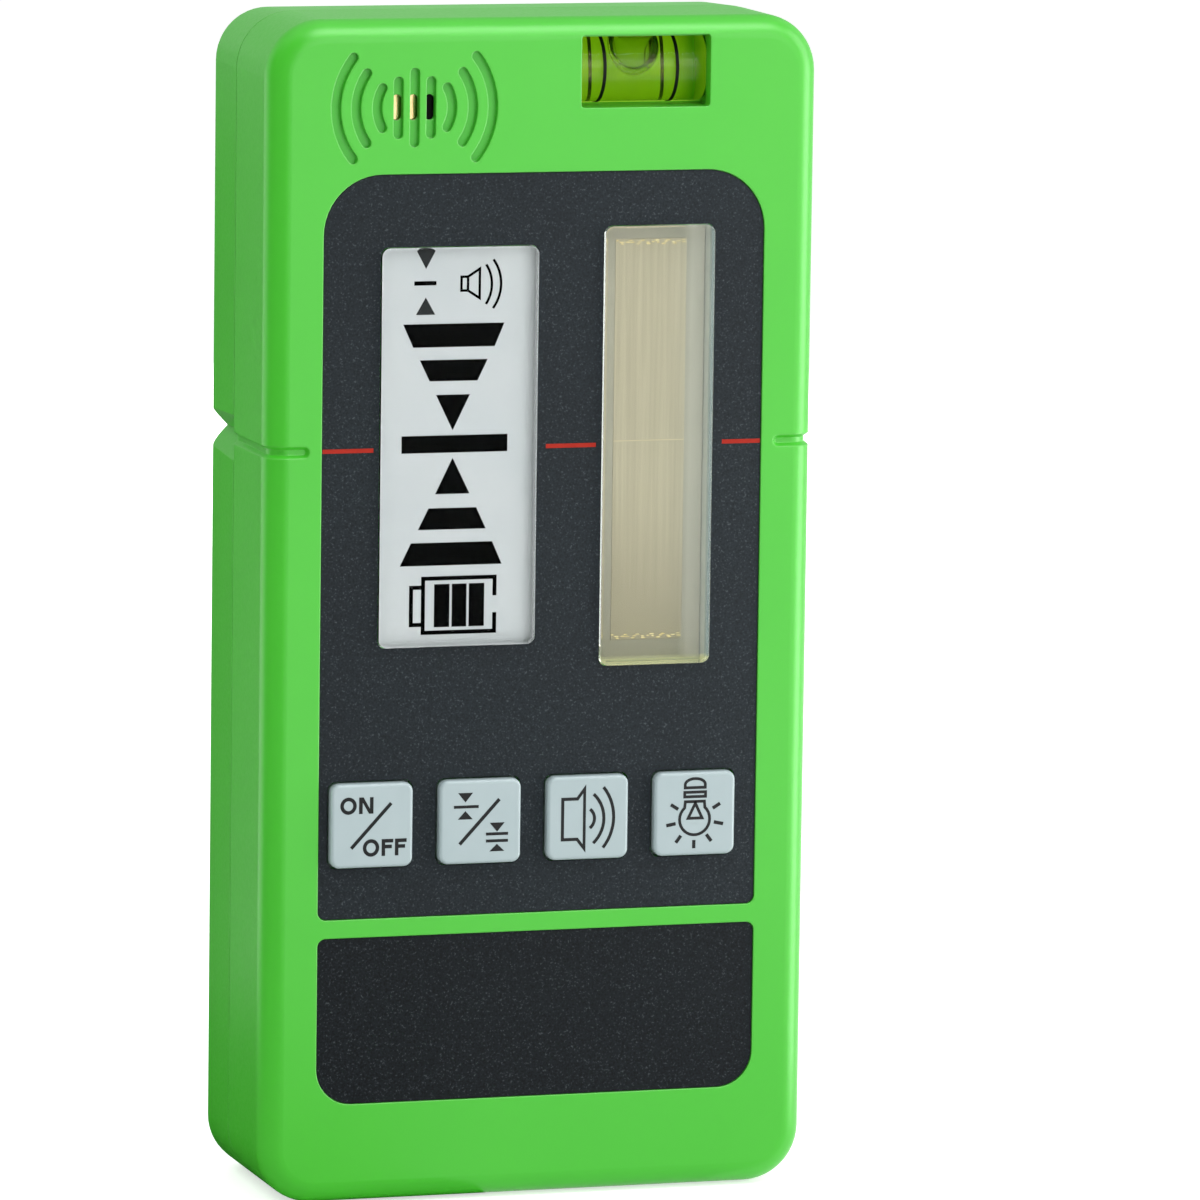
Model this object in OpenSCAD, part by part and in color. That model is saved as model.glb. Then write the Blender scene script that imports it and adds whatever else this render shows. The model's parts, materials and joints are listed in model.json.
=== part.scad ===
// Hand-held laser receiver with a display, a sensor window, four keys and a spirit vial.
// X runs to the right, Y runs to the back, Z runs up. The origin is under the middle of the base.

/* [Case] */
// Width of the case at the parting line
case_w = 80.5; // [79:0.5:88]
// Height of the case
case_h = 167.8; // [167:0.2:174]
// Depth of the case, front to back
case_d = 33; // [32.6:0.2:36]
// Depth of the front shell, from its face to the parting line
front_depth = 18; // [17:0.5:19]
// Wall thickness of both shells
wall = 2.2; // [2:0.1:2.4]
// Radius of the case's four outline corners
corner_r = 8; // [7.5:0.25:9]
// Rounding along the front edge
front_fillet = 3.2; // [2.4:0.1:3.4]
// Rounding along the rear edge
rear_fillet = 2; // [1.4:0.1:2.2]
// How much the rear shell narrows on each side towards the back
rear_draft = 0.6; // [0.3:0.1:0.7]
// Height of the rear shell's lip inside the front shell
lip_h = 1.5; // [1:0.1:2]
// Width of the V along the parting line
parting_v = 0.15; // [0.1:0.05:0.6]

/* [Zero marks] */
// Height of the pencil notches in the rear shell's sides
notch_h = 6.5; // [5:0.5:7]
// Depth of the pencil notches
notch_depth = 3.1; // [2:0.1:3.2]
// Width of the groove round the front shell, at its mouth
groove_w = 1.7; // [1.2:0.1:2]
// Width of that groove's floor
groove_floor = 0.7; // [0.4:0.1:1]
// Depth of that groove
groove_depth = 0.65; // [0.4:0.05:0.8]
// How far that groove runs in over the front face
groove_run = 6.2; // [5:0.2:7]

/* [Panel] */
// Distance from the case's sides to the overlay and to the lower label
panel_margin = 8; // [7:0.25:8.5]
// Lower edge of the panel overlay
panel_bottom = 40.9; // [40:0.1:42]
// Distance from the top of the case to the overlay's upper edge
panel_drop = 21.7; // [20:0.1:23]
// Radius of the overlay's upper corners
panel_corner = 8.5; // [6:0.5:9]
// Radius of the corners beside the strip between overlay and label
strip_corner = 1.2; // [0.6:0.1:2]
// Lower edge of the lower label
label_bottom = 14.4; // [14:0.1:16]
// Upper edge of the lower label
label_top = 38.1; // [37:0.1:38.6]
// Radius of the label's lower corners
label_corner = 5.2; // [4:0.2:6]
// Depth of the recesses that hold overlay and label
recess_depth = 0.7; // [0.6:0.05:0.8]
// Thickness of overlay and label
overlay_t = 0.5; // [0.4:0.05:0.55]

/* [Windows] */
// Distance from the overlay's left edge to the display window
display_inset = 8.4; // [7.5:0.1:10]
// Distance from the overlay's upper edge to the display window
display_head = 10.25; // [9:0.25:16]
// Distance from the keys up to the display window
display_foot = 19.05; // [17:0.05:24]
// Width of the sensor window
sensor_w = 16.2; // [14:0.2:18]
// Distance from the overlay's right edge to the sensor window
sensor_inset = 7.25; // [7:0.05:8.5]
// Distance from the overlay's upper edge to the sensor window
sensor_head = 7.75; // [7:0.25:14]
// Distance from the keys up to the sensor window
sensor_foot = 15.55; // [14:0.05:20]
// Distance between the two windows
window_space = 9.75; // [8:0.25:12]
// Radius of the windows' corners
window_corner = 1.2; // [1:0.1:2]
// How far the windows stand out of the case
window_proud = 0.5; // [0.3:0.1:0.8]
// Rounding along the windows' front edge
window_edge = 0.4; // [0.2:0.05:0.5]
// Rim of the windows behind the front wall
window_rim = 1.5; // [1.2:0.1:1.6]

/* [Keys] */
// Side of a square key
key_size = 12; // [11.5:0.25:12.5]
// Distance from the overlay's left edge to the first key
key_left = 1.5; // [1.5:0.1:4]
// Distance from the last key to the overlay's right edge
key_right = 3.3; // [1.5:0.1:4]
// Height of the row of keys
key_z = 54.3; // [53.5:0.1:55]
// How far a key stands out of the case
key_proud = 1; // [0.8:0.1:1.5]
// Radius of a key's corners
key_corner = 1.3; // [1:0.1:2]
// Rounding along a key's front edge
key_edge = 0.5; // [0.3:0.1:0.7]
// Room round a key in its hole
key_gap = 0.25; // [0.2:0.05:0.35]
// Travel of a key
key_travel = 0.5; // [0.3:0.1:0.6]

/* [Sound slots] */
// Distance from the left side of the case to the middle of the sound slots
sound_inset = 20.95; // [18:0.05:22]
// Distance from the top of the case to the middle of the sound slots
sound_drop = 12.3; // [11.6:0.1:12.8]
// Width of a slot
slot_w = 1.4; // [1.2:0.1:1.6]
// Depth of the blind slots
slot_depth = 0.9; // [0.6:0.1:1.2]
// Distance between the straight slots
bar_pitch = 2.37; // [2.2:0.05:2.5]
// Length of the open stretch in each straight slot
open_length = 3.6; // [3:0.2:5]

/* [Vial] */
// Distance from the right side of the case to the middle of the vial
vial_inset = 25.75; // [22:0.25:26.5]
// Width of the opening in front of the vial
vial_open_w = 19; // [17:0.5:20]
// Distance from the top of the case to that opening's lower edge
vial_drop = 12.7; // [12.6:0.1:14]
// Height of that opening
vial_open_h = 10.2; // [9.6:0.1:10.4]
// Outer radius of the vial's tube
vial_r = 5; // [4.8:0.05:5]
// Wall of the vial's tube
vial_wall = 0.8; // [0.6:0.1:1]
// Length of the vial's tube
vial_length = 25; // [24:0.5:26]
// Distance between the two index rings
ring_pitch = 10.7; // [9.5:0.1:11]

/* [Battery] */
// Length of the battery's can
battery_length = 46.4; // [45:0.2:46.6]
// Height of the battery as it lies
battery_h = 26.2; // [25.5:0.1:26.3]
// Thickness of the battery
battery_t = 17.2; // [16.5:0.1:17.3]
// Thickness of the battery door
door_t = 2; // [1.8:0.1:2.2]
// Height of the door's hinge line
hinge_z = 6.2; // [6:0.1:7]
// Radius of the door's hinge barrel
barrel_r = 1.9; // [1.7:0.1:2]
// Radius of the door's hinge pins
hinge_pin_r = 1.2; // [1:0.1:1.3]

/* [Threaded insert] */
// Distance from the zero line down to the threaded insert in the back
clamp_drop = 15.35; // [0:0.05:25]
// Radius of the insert's threaded bore
clamp_bore_r = 2.55; // [2.4:0.05:2.7]
// Outer radius of the insert
clamp_insert_r = 4; // [3.6:0.1:4.4]
// Length of the insert
clamp_insert_length = 9; // [7:0.5:9.5]

/* [Boards] */
// Thickness of the main board
board_t = 1.6; // [1.2:0.1:1.6]
// Space between front wall and main board
board_gap = 6.8; // [6.7:0.05:6.9]
// Distance from the top of the case to the main board
board_drop = 16.8; // [16:0.2:18]

/* [Hidden] */
$fn = 48;
eps = 0.01;
slip = 0.02;
clear = 0.1;
sink = 0.6;

// Planes across the depth
front_y = -case_d / 2;
rear_y = case_d / 2;
parting_y = front_y + front_depth;
inner_y = front_y + wall;
board_y = inner_y + board_gap;
board_rear_y = board_y + board_t;
overlay_y = front_y + recess_depth - overlay_t;
rear_inset = wall + rear_draft;
rear_inner_y = rear_y - wall;
mid_z = case_h / 2;
panel_w = case_w - 2 * panel_margin;
panel_top = case_h - panel_drop;
sound_x = sound_inset - case_w / 2;
sound_z = case_h - sound_drop;
vial_x = case_w / 2 - vial_inset;
vial_open_bottom = case_h - vial_drop;
board_top = case_h - board_drop;

// Case screws
boss_side = 4.45;
boss_foot = 8.3;
boss_head = 7.1;
boss_x = case_w / 2 - wall - boss_side;
boss_low_z = wall + boss_foot;
boss_high_z = case_h - wall - boss_head;
boss_r = 3.2;
boss_hole_r = 1.3;
boss_hole_depth = 12;
column_r = 4.2;
column_hole_r = 1.65;
screw_head_r = 2.7;
screw_head_h = 2.2;
screw_sink_r = 3;
screw_seat = 7;
screw_seat_y = parting_y + screw_seat;
screw_reach = 10;
cross_length = 3.2;
cross_depth = 1.2;
cross_w = 0.8;

// Pencil notches and threaded insert
notch_wall = 1.5;
notch_over = 1;
notch_back = notch_depth + notch_wall - rear_inset / 2;
notch_mid_x = case_w / 2 - (rear_inset + notch_back) / 2;
clamp_room = 1;

// Windows
window_rim_t = 1;
stack_y = inner_y + window_rim_t + clear;
key_top = key_z + key_size / 2;
key_flange = 1.2;
key_flange_t = 1;
display_w = panel_w - display_inset - window_space - sensor_w - sensor_inset;
display_h = panel_top - display_head - key_top - display_foot;
display_x = display_inset + (display_w - panel_w) / 2;
display_z = key_top + display_foot + display_h / 2;
sensor_h = panel_top - sensor_head - key_top - sensor_foot;
sensor_x = (panel_w - sensor_w) / 2 - sensor_inset;
sensor_z = key_top + sensor_foot + sensor_h / 2;
zero_z = (display_z + sensor_z) / 2;
clamp_z = zero_z - clamp_drop;

// Display stack
lcd_side = 1.3;
lcd_end = 2.6;
lcd_w = display_w + 2 * lcd_side;
lcd_h = display_h + 2 * lcd_end;
lcd_t = 2.2;
lcd_rear_y = stack_y + lcd_t;
zebra_h = 2.4;
zebra_space = 0.5;
light_h = lcd_h - 2 * zebra_h - 2 * zebra_space;
lcd_frame_wall = 1.3;

// Sensor stack
well_wall = 1.5;
well_room = 0.3;
well_w = sensor_w + 2 * well_wall + 2 * well_room;
well_h = sensor_h + 2 * well_wall + 2 * well_room;
cell_board_t = 1;
cell_t = 0.6;
cell_edge = 1;
cell_space = 1.5;
filter_t = 1;

// Main board and its posts
post_r = 2.6;
post_space = 0.5;
post_hole_r = 0.95;
post_hole_depth = 5;
post_left_x = display_x - lcd_w / 2 - lcd_frame_wall - post_r - post_space;
post_right_x = sensor_x + well_w / 2 + post_r + post_space;
post_low_z = key_top + key_flange + post_r + 4 * post_space;
post_high_z = board_top - 2 * post_r;
board_side = 3.5;
board_corner = 2;
board_hole_r = 1.2;
board_screw_head_r = 2;
board_screw_head_h = 1.5;
board_screw_reach = 4;
controller_side = 12;
controller_t = 1.4;
amplifier_w = 4;
amplifier_h = 5;
amplifier_t = 1.5;
capacitor_r = 2.5;
capacitor_h = 6;

// Keys
key_pitch = (panel_w - key_left - key_right - key_size) / 3;
stem_r = 1.9;
switch_size = 6.2;
switch_h = 3.4;
plunger_r = 1.7;
plunger_seat = 1.3;
plunger_space = 0.8;
plunger_clear = 0.06;
switch_y = board_y - switch_h;
plunger_y = switch_y - key_travel - plunger_space;

// Sound
slot_end_r = slot_w / 2 - eps;
arc_radii = [5.45, 8.5, 11.4];
arc_spans = [61, 70, 77];
bar_lengths = [8.7, 11.1, 8.7];
buzzer_shift = 0.9;
buzzer_x = sound_x - buzzer_shift;
buzzer_r = 8.8;
buzzer_wall = 1;
buzzer_face = 0.3;
buzzer_seat = 0.8;
buzzer_room = 0.4;
buzzer_y = inner_y - buzzer_seat;
buzzer_rear_y = board_y - buzzer_room;
buzzer_hole_r = 3.1;
buzzer_disc_t = 0.25;
buzzer_pin_r = 0.4;
buzzer_pin_space = 2.5;
buzzer_pin_drop = 6.3;
buzzer_pin_tail = 1;

// Vial
vial_room = 0.1;
vial_lift = 0.2;
vial_y = inner_y + 2.5 * vial_room + vial_r;
vial_z = vial_open_bottom + vial_lift + vial_r;
vial_open_corner = 0.5;
bubble_r = 2.5;
bubble_half = 1.1;
bubble_skin = 0.15;
plug_length = 2.5;
ring_w = 0.5;
ring_t = 0.07;
cradle_wall = 1.5;
cradle_floor = 0.9;
cradle_w = vial_length + 2 * cradle_wall;
cradle_bottom = vial_open_bottom - cradle_floor;
cradle_top = case_h - wall - clear / 2;
cradle_depth = 2 * vial_r + cradle_wall + cradle_floor;

// Battery bay
bay_wall = 1.4;
bay_room = 0.4;
bay_half = boss_x - boss_r - bay_room - bay_wall;
bay_rise = 0.6;
bay_bottom = hinge_z + barrel_r + bay_rise;
battery_room = 1.1;
bay_top = bay_bottom + 2 * bay_wall + battery_h + battery_room;
pad_t = 1;
pad_w = 28;
pad_h = 18;
battery_corner = 1.5;
battery_rear_y = rear_y - door_t - pad_t - 2 * clear;
battery_front_y = battery_rear_y - battery_t;
battery_mid_y = (battery_front_y + battery_rear_y) / 2;
bay_front_y = battery_front_y - bay_room - bay_wall;
battery_x = bay_half - 4 * bay_room - battery_length / 2;
battery_z = (bay_bottom + bay_top) / 2;
board_rise = 3.8;
board_bottom = bay_top + board_rise;
terminal_h = 2.1;
terminal_pitch = 12.7;
post_terminal_r = 2.8;
socket_terminal_r = 4;
terminal_x = battery_x - battery_length / 2 - terminal_h;
snap_back = 1.2;
snap_grip = 1.6;
snap_edge = 0.6;
lead_r = 0.6;
bend_over = 0.04;
bend_r = lead_r + bend_over;
lead_x = terminal_x - snap_back - bend_r - slip;
lead_start = 9;
lead_rise = 2;
lead_tail = 3;
lead_slot_w = 4;
lead_slot_depth = 6;
positive_back = 1.5;
negative_back = 4;
positive_out = 3;
negative_out = 2;
positive_y = parting_y + positive_back;
negative_y = parting_y + negative_back;
positive_pad_x = lead_x + positive_out;
negative_pad_x = lead_x - negative_out;

// Battery door
hinge_y = rear_y - door_t - clear;
door_gap = 0.3;
door_ledge = 0.8;
door_w = 2 * (bay_half - door_ledge - door_gap);
door_top = bay_top - door_ledge;
door_corner = 0.8;
door_foot_corner = 0.4;
barrel_room = 0.7;
cheek_w = 3.7;
cheek_depth = 3.2;
cheek_rise = 3;
pin_length = 2.4;
pin_room = 0.4;
pin_clear = 0.05;
finger_r = 4.2;
finger_w = 14;
finger_out = 2.5;
grip_w = 16;
grip_depth = 0.4;
grip_line = 0.9;
grip_pitch = 1.8;
grip_drop = 4;

green = [0.36, 0.78, 0.30];
slate = [0.18, 0.20, 0.21];
pale = [0.82, 0.85, 0.86];
clear_pane = [0.85, 0.88, 0.88, 0.5];
black = [0.08, 0.08, 0.09];
board_green = [0.05, 0.30, 0.16];
steel = [0.62, 0.63, 0.65];
brass = [0.80, 0.62, 0.28];

function key_x(i) = key_left + (key_size - panel_w) / 2 + i * key_pitch;
function board_screw_places() = [
  for (x = [post_left_x, post_right_x], z = [post_low_z, post_high_z]) [x, z]
];

// Draws a flat outline in X and Z as a slab from y0 to y1
module along_y(y0, y1) {
  translate([0, y1, 0])
    rotate([90, 0, 0])
      linear_extrude(y1 - y0)
        children();
}

// Rectangle with its lower edge at z0, upper edge at z1, and rounded upper and lower corners
module outline(x, w, z0, z1, top_r, low_r) {
  translate([x - w / 2, z0 + low_r])
    square([w, z1 - z0 - top_r - low_r]);
  translate([x - w / 2 + top_r, z1 - top_r])
    square([w - 2 * top_r, top_r]);
  translate([x - w / 2 + low_r, z0])
    square([w - 2 * low_r, low_r]);
  for (s = [-1, 1]) {
    translate([x + s * (w / 2 - top_r), z1 - top_r])
      circle(r = top_r);
    translate([x + s * (w / 2 - low_r), z0 + low_r])
      circle(r = low_r);
  }
}

// Rectangle centred on x and z with four equal corners
module centred_outline(x, z, w, h, r) {
  outline(x, w, z - h / 2, z + h / 2, r, r);
}

// Cylinder along Y from y0 to y1
module rod(x, z, r, y0, y1) {
  translate([x, y0, z])
    rotate([-90, 0, 0])
      cylinder(r = r, h = y1 - y0);
}

// Edge section: depth runs up, the face at 0 is rounded and the side leans out by draft
module edge_section(reach, depth, fillet, draft) {
  side = [depth, -draft] / norm([depth, -draft]);
  middle = [reach - draft + draft * fillet / depth - fillet / side[0], fillet];
  touch = middle + fillet * side;
  polygon([[0, 0], [middle[0], 0], middle, touch, [reach, depth], [0, depth]]);
  translate(middle)
    circle(r = fillet);
}

// Slab with its face at y = 0, rounded all round that face, centred on X and Z
module rounded_slab(w, h, depth, corner, fillet, draft = 0) {
  turns = [[1, 1], [-1, 1], [-1, -1], [1, -1]];
  rotate([-90, 0, 0]) {
    for (k = [0 : 3])
      translate([turns[k][0] * (w / 2 - corner), turns[k][1] * (h / 2 - corner), 0])
        rotate([0, 0, 90 * k])
          rotate_extrude(angle = 90)
            edge_section(corner, depth, fillet, draft);
    for (turn = [0, 180]) {
      rotate([0, 0, turn])
        translate([w / 2 - corner, 0, 0])
          rotate([90, 0, 0])
            linear_extrude(h - 2 * corner, center = true)
              edge_section(corner, depth, fillet, draft);
      rotate([0, 0, turn + 90])
        translate([h / 2 - corner, 0, 0])
          rotate([90, 0, 0])
            linear_extrude(w - 2 * corner, center = true)
              edge_section(corner, depth, fillet, draft);
    }
    translate([-w / 2 + corner, -h / 2 + corner, 0])
      cube([w - 2 * corner, h - 2 * corner, depth]);
  }
}

// Ring of the case outline between two insets
module case_ring(outer, inner, y0, y1) {
  along_y(y0, y1)
    difference() {
      centred_outline(0, mid_z, case_w - 2 * outer, case_h - 2 * outer, corner_r - outer);
      centred_outline(0, mid_z, case_w - 2 * inner, case_h - 2 * inner, corner_r - inner);
    }
}

module at_case_screws() {
  for (x = [-boss_x, boss_x], z = [boss_low_z, boss_high_z])
    translate([x, 0, z])
      children();
}

module at_board_screws() {
  for (place = board_screw_places())
    translate([place[0], 0, place[1]])
      children();
}

// Straight slot with round ends, upright
module bar_slot(x, z, length, y0, y1) {
  along_y(y0, y1)
    centred_outline(x, z, slot_w, length, slot_end_r);
}

// Pair of curved slots with round ends, left and right of the middle
module arc_slots(r, span) {
  for (turn = [0, 180])
    translate([sound_x, front_y + slot_depth, sound_z])
      rotate([90, 0, 0])
        rotate([0, 0, turn - span / 2]) {
          rotate_extrude(angle = span)
            translate([r - slot_w / 2, 0])
              square([slot_w, slot_depth + sink]);
          for (end = [0, span])
            rotate([0, 0, end])
              translate([r, 0, 0])
                cylinder(r = slot_end_r, h = slot_depth + sink);
        }
}

module sound_slots() {
  for (i = [0 : 2]) {
    arc_slots(arc_radii[i], arc_spans[i]);
    bar_slot(sound_x + (i - 1) * bar_pitch, sound_z, bar_lengths[i], front_y - sink, front_y + slot_depth);
    bar_slot(sound_x + (i - 1) * bar_pitch, sound_z, open_length, front_y - sink, inner_y + sink);
  }
}

// Cross-section of the groove, from its mouth at 0 down to its floor
module groove_profile() {
  polygon([
    [-sink, groove_w / 2],
    [0, groove_w / 2],
    [groove_depth, groove_floor / 2],
    [groove_depth, -groove_floor / 2],
    [0, -groove_w / 2],
    [-sink, -groove_w / 2]
  ]);
}

// Groove round one side: over the front, round the fillet and back to the parting line
module side_groove() {
  end_x = case_w / 2 - groove_run + groove_w / 2;
  fillet_x = case_w / 2 - front_fillet;
  fillet_y = front_y + front_fillet;
  translate([0, 0, zero_z]) {
    translate([end_x, front_y - sink, 0])
      rotate([-90, 0, 0]) {
        cylinder(r = groove_w / 2 - eps, h = sink + eps);
        translate([0, 0, sink])
          cylinder(r1 = groove_w / 2 - eps, r2 = groove_floor / 2 - eps, h = groove_depth);
      }
    translate([end_x, front_y, 0])
      rotate([90, 0, 90])
        linear_extrude(fillet_x - end_x)
          groove_profile();
    translate([fillet_x, fillet_y, 0])
      rotate([0, 0, 270])
        rotate_extrude(angle = 90)
          translate([front_fillet, 0])
            mirror([1, 0])
              groove_profile();
    translate([case_w / 2, fillet_y, 0])
      rotate([90, 0, 180])
        linear_extrude(front_depth - front_fillet + sink)
          groove_profile();
  }
}

module front_groove() {
  side_groove();
  mirror([1, 0, 0])
    side_groove();
}

module front_openings() {
  along_y(front_y - sink, front_y + recess_depth) {
    outline(0, panel_w + 2 * clear, panel_bottom - clear, panel_top + clear, panel_corner, strip_corner);
    outline(0, panel_w + 2 * clear, label_bottom - clear, label_top + clear, strip_corner, label_corner);
  }
  along_y(front_y, inner_y + sink) {
    centred_outline(display_x, display_z, display_w + 2 * clear, display_h + 2 * clear, window_corner);
    centred_outline(sensor_x, sensor_z, sensor_w + 2 * clear, sensor_h + 2 * clear, window_corner);
    for (i = [0 : 3])
      centred_outline(key_x(i), key_z, key_size + 2 * key_gap, key_size + 2 * key_gap, key_corner);
  }
  along_y(front_y - sink, inner_y + sink)
    outline(vial_x, vial_open_w, vial_open_bottom, vial_open_bottom + vial_open_h,
      vial_open_corner, vial_open_corner);
}

module front_shell() {
  color(green)
    difference() {
      union() {
        difference() {
          translate([0, front_y, mid_z])
            rounded_slab(case_w, case_h, front_depth, corner_r, front_fillet);
          along_y(inner_y, parting_y + sink)
            centred_outline(0, mid_z, case_w - 2 * wall, case_h - 2 * wall, corner_r - wall);
        }
        at_case_screws()
          rod(0, 0, boss_r, inner_y - eps, parting_y);
        at_board_screws()
          rod(0, 0, post_r, inner_y - eps, board_y);
      }
      case_ring(wall / 2, wall + sink, parting_y - lip_h - clear, parting_y + sink);
      case_ring(-sink, parting_v, parting_y - parting_v, parting_y + sink);
      at_case_screws()
        rod(0, 0, boss_hole_r, parting_y - boss_hole_depth, parting_y + sink);
      at_board_screws()
        rod(0, 0, post_hole_r, board_y - post_hole_depth, board_y + sink);
      front_openings();
      sound_slots();
      rod(buzzer_x, sound_z, buzzer_r + clear, buzzer_y, inner_y + sink);
      front_groove();
    }
}

// Pencil notch in one side of the rear shell
module pencil_notch(s) {
  notch_end = notch_h / 2 * (notch_depth + notch_over) / notch_depth;
  along_y(parting_y, rear_y + sink)
    polygon([
      [s * (case_w / 2 + notch_over), zero_z + notch_end],
      [s * (case_w / 2 - notch_depth), zero_z],
      [s * (case_w / 2 + notch_over), zero_z - notch_end]
    ]);
}

module battery_bay() {
  difference() {
    translate([-bay_half - bay_wall, bay_front_y, bay_bottom])
      cube([2 * (bay_half + bay_wall), rear_inner_y - bay_front_y + eps, bay_top - bay_bottom]);
    translate([-bay_half, bay_front_y + bay_wall, bay_bottom + bay_wall])
      cube([2 * bay_half, rear_y - bay_front_y, bay_top - bay_bottom - 2 * bay_wall]);
    translate([lead_x - lead_slot_w / 2, parting_y, bay_top - 2 * bay_wall])
      cube([lead_slot_w, lead_slot_depth, 3 * bay_wall]);
  }
}

module hinge_cheeks() {
  for (s = [-1, 1])
    translate([s * (door_w / 2 + door_gap + cheek_w / 2) - cheek_w / 2, hinge_y - cheek_depth, wall])
      cube([cheek_w, rear_inner_y - hinge_y + cheek_depth + eps, hinge_z + cheek_rise]);
}

module door_opening() {
  along_y(rear_inner_y - clear, rear_y + sink)
    outline(0, door_w + 2 * door_gap, hinge_z - barrel_r - barrel_room, door_top + door_gap,
      door_corner, door_foot_corner);
  translate([0, rear_y + finger_out, door_top])
    rotate([0, 90, 0])
      cylinder(r = finger_r, h = finger_w, center = true);
}

module rear_shell() {
  color(green)
    difference() {
      union() {
        difference() {
          translate([0, rear_y, mid_z - rear_draft / 2])
            mirror([0, 1, 0])
              rounded_slab(case_w, case_h + rear_draft, case_d - front_depth,
                corner_r, rear_fillet, rear_draft);
          along_y(parting_y - sink, rear_inner_y)
            centred_outline(0, mid_z, case_w - 2 * rear_inset, case_h - 2 * rear_inset,
              corner_r - rear_inset);
        }
        case_ring(wall / 2 + clear, rear_inset, parting_y - lip_h, parting_y + eps);
        at_case_screws()
          rod(0, 0, column_r, parting_y + clear, rear_inner_y + eps);
        rod(0, clamp_z, clamp_insert_r + wall,
          rear_y - clamp_insert_length - clamp_room - wall, rear_inner_y + eps);
        for (s = [-1, 1])
          translate([s * notch_mid_x - notch_back / 2, parting_y + clear, zero_z - notch_h])
            cube([notch_back, rear_inner_y - parting_y, 2 * notch_h]);
        battery_bay();
        hinge_cheeks();
      }
      case_ring(-sink, parting_v, parting_y - sink, parting_y + parting_v);
      case_ring(-2 * rear_draft - 1, 0, rear_y - case_d, rear_y + sink);
      at_case_screws() {
        rod(0, 0, column_hole_r, parting_y - sink, rear_y + sink);
        rod(0, 0, screw_sink_r, screw_seat_y, rear_y + sink);
      }
      rod(0, clamp_z, clamp_insert_r, rear_y - clamp_insert_length - clamp_room, rear_y + sink);
      for (s = [-1, 1])
        pencil_notch(s);
      door_opening();
      translate([-door_w / 2 - pin_length - pin_room, hinge_y, hinge_z])
        rotate([0, 90, 0])
          cylinder(r = hinge_pin_r + pin_clear, h = door_w + 2 * pin_length + 2 * pin_room);
    }
}

module case_screws() {
  color(steel)
    at_case_screws() {
      rod(0, 0, boss_hole_r - slip, parting_y - screw_reach, screw_seat_y + eps);
      difference() {
        rod(0, 0, screw_head_r, screw_seat_y, screw_seat_y + screw_head_h);
        for (turn = [0, 90])
          rotate([0, turn, 0])
            translate([0, screw_seat_y + screw_head_h, 0])
              cube([cross_length, 2 * cross_depth, cross_w], center = true);
      }
    }
}

module clamp_insert() {
  color(brass)
    difference() {
      rod(0, clamp_z, clamp_insert_r - eps, rear_y - clamp_insert_length, rear_y);
      rod(0, clamp_z, clamp_bore_r, rear_y - clamp_insert_length - sink, rear_y + sink);
    }
}

module panel_overlay() {
  color(slate)
    difference() {
      along_y(overlay_y, overlay_y + overlay_t)
        outline(0, panel_w, panel_bottom, panel_top, panel_corner, strip_corner);
      along_y(overlay_y - sink, overlay_y + overlay_t + sink) {
        centred_outline(display_x, display_z, display_w + 2 * clear, display_h + 2 * clear, window_corner);
        centred_outline(sensor_x, sensor_z, sensor_w + 2 * clear, sensor_h + 2 * clear, window_corner);
        for (i = [0 : 3])
          centred_outline(key_x(i), key_z, key_size + 2 * key_gap, key_size + 2 * key_gap, key_corner);
      }
    }
}

module lower_label() {
  color(slate)
    along_y(overlay_y, overlay_y + overlay_t)
      outline(0, panel_w, label_bottom, label_top, strip_corner, label_corner);
}

// Clear pane set in from behind, with a rim against the inside of the front wall
module window_pane(x, z, w, h) {
  color(clear_pane) {
    translate([x, front_y - window_proud, z])
      rounded_slab(w, h, window_proud + wall + eps, window_corner, window_edge);
    along_y(inner_y, inner_y + window_rim_t)
      centred_outline(x, z, w + 2 * window_rim, h + 2 * window_rim, window_corner);
  }
}

module display_window() {
  window_pane(display_x, display_z, display_w, display_h);
}

module sensor_window() {
  window_pane(sensor_x, sensor_z, sensor_w, sensor_h);
}

module lcd_glass() {
  color([0.80, 0.84, 0.84])
    translate([display_x - lcd_w / 2, stack_y, display_z - lcd_h / 2])
      cube([lcd_w, lcd_t, lcd_h]);
}

module lcd_backlight() {
  color([0.92, 0.94, 0.95])
    translate([display_x - lcd_w / 2, lcd_rear_y, display_z - light_h / 2])
      cube([lcd_w, board_y - lcd_rear_y, light_h]);
}

module zebra_strips() {
  color([0.55, 0.30, 0.35])
    for (s = [-1, 1])
      translate([display_x - lcd_w / 2, lcd_rear_y, display_z + s * (lcd_h - zebra_h) / 2 - zebra_h / 2])
        cube([lcd_w, board_y - lcd_rear_y, zebra_h]);
}

module lcd_frame() {
  frame_w = lcd_w + 2 * lcd_frame_wall + 2 * clear;
  frame_h = lcd_h + 2 * lcd_frame_wall + 2 * clear;
  color([0.88, 0.88, 0.86])
    difference() {
      translate([display_x - frame_w / 2, stack_y, display_z - frame_h / 2])
        cube([frame_w, board_y - stack_y, frame_h]);
      translate([display_x - lcd_w / 2 - clear, stack_y - sink, display_z - lcd_h / 2 - clear])
        cube([lcd_w + 2 * clear, board_y - stack_y + 2 * sink, lcd_h + 2 * clear]);
    }
}

module sensor_housing() {
  color([0.84, 0.82, 0.76])
    difference() {
      translate([sensor_x - well_w / 2, stack_y, sensor_z - well_h / 2])
        cube([well_w, board_y - stack_y, well_h]);
      translate([sensor_x - well_w / 2 + well_wall, stack_y - sink, sensor_z - well_h / 2 + well_wall])
        cube([well_w - 2 * well_wall, board_y - stack_y + 2 * sink, well_h - 2 * well_wall]);
    }
}

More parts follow.
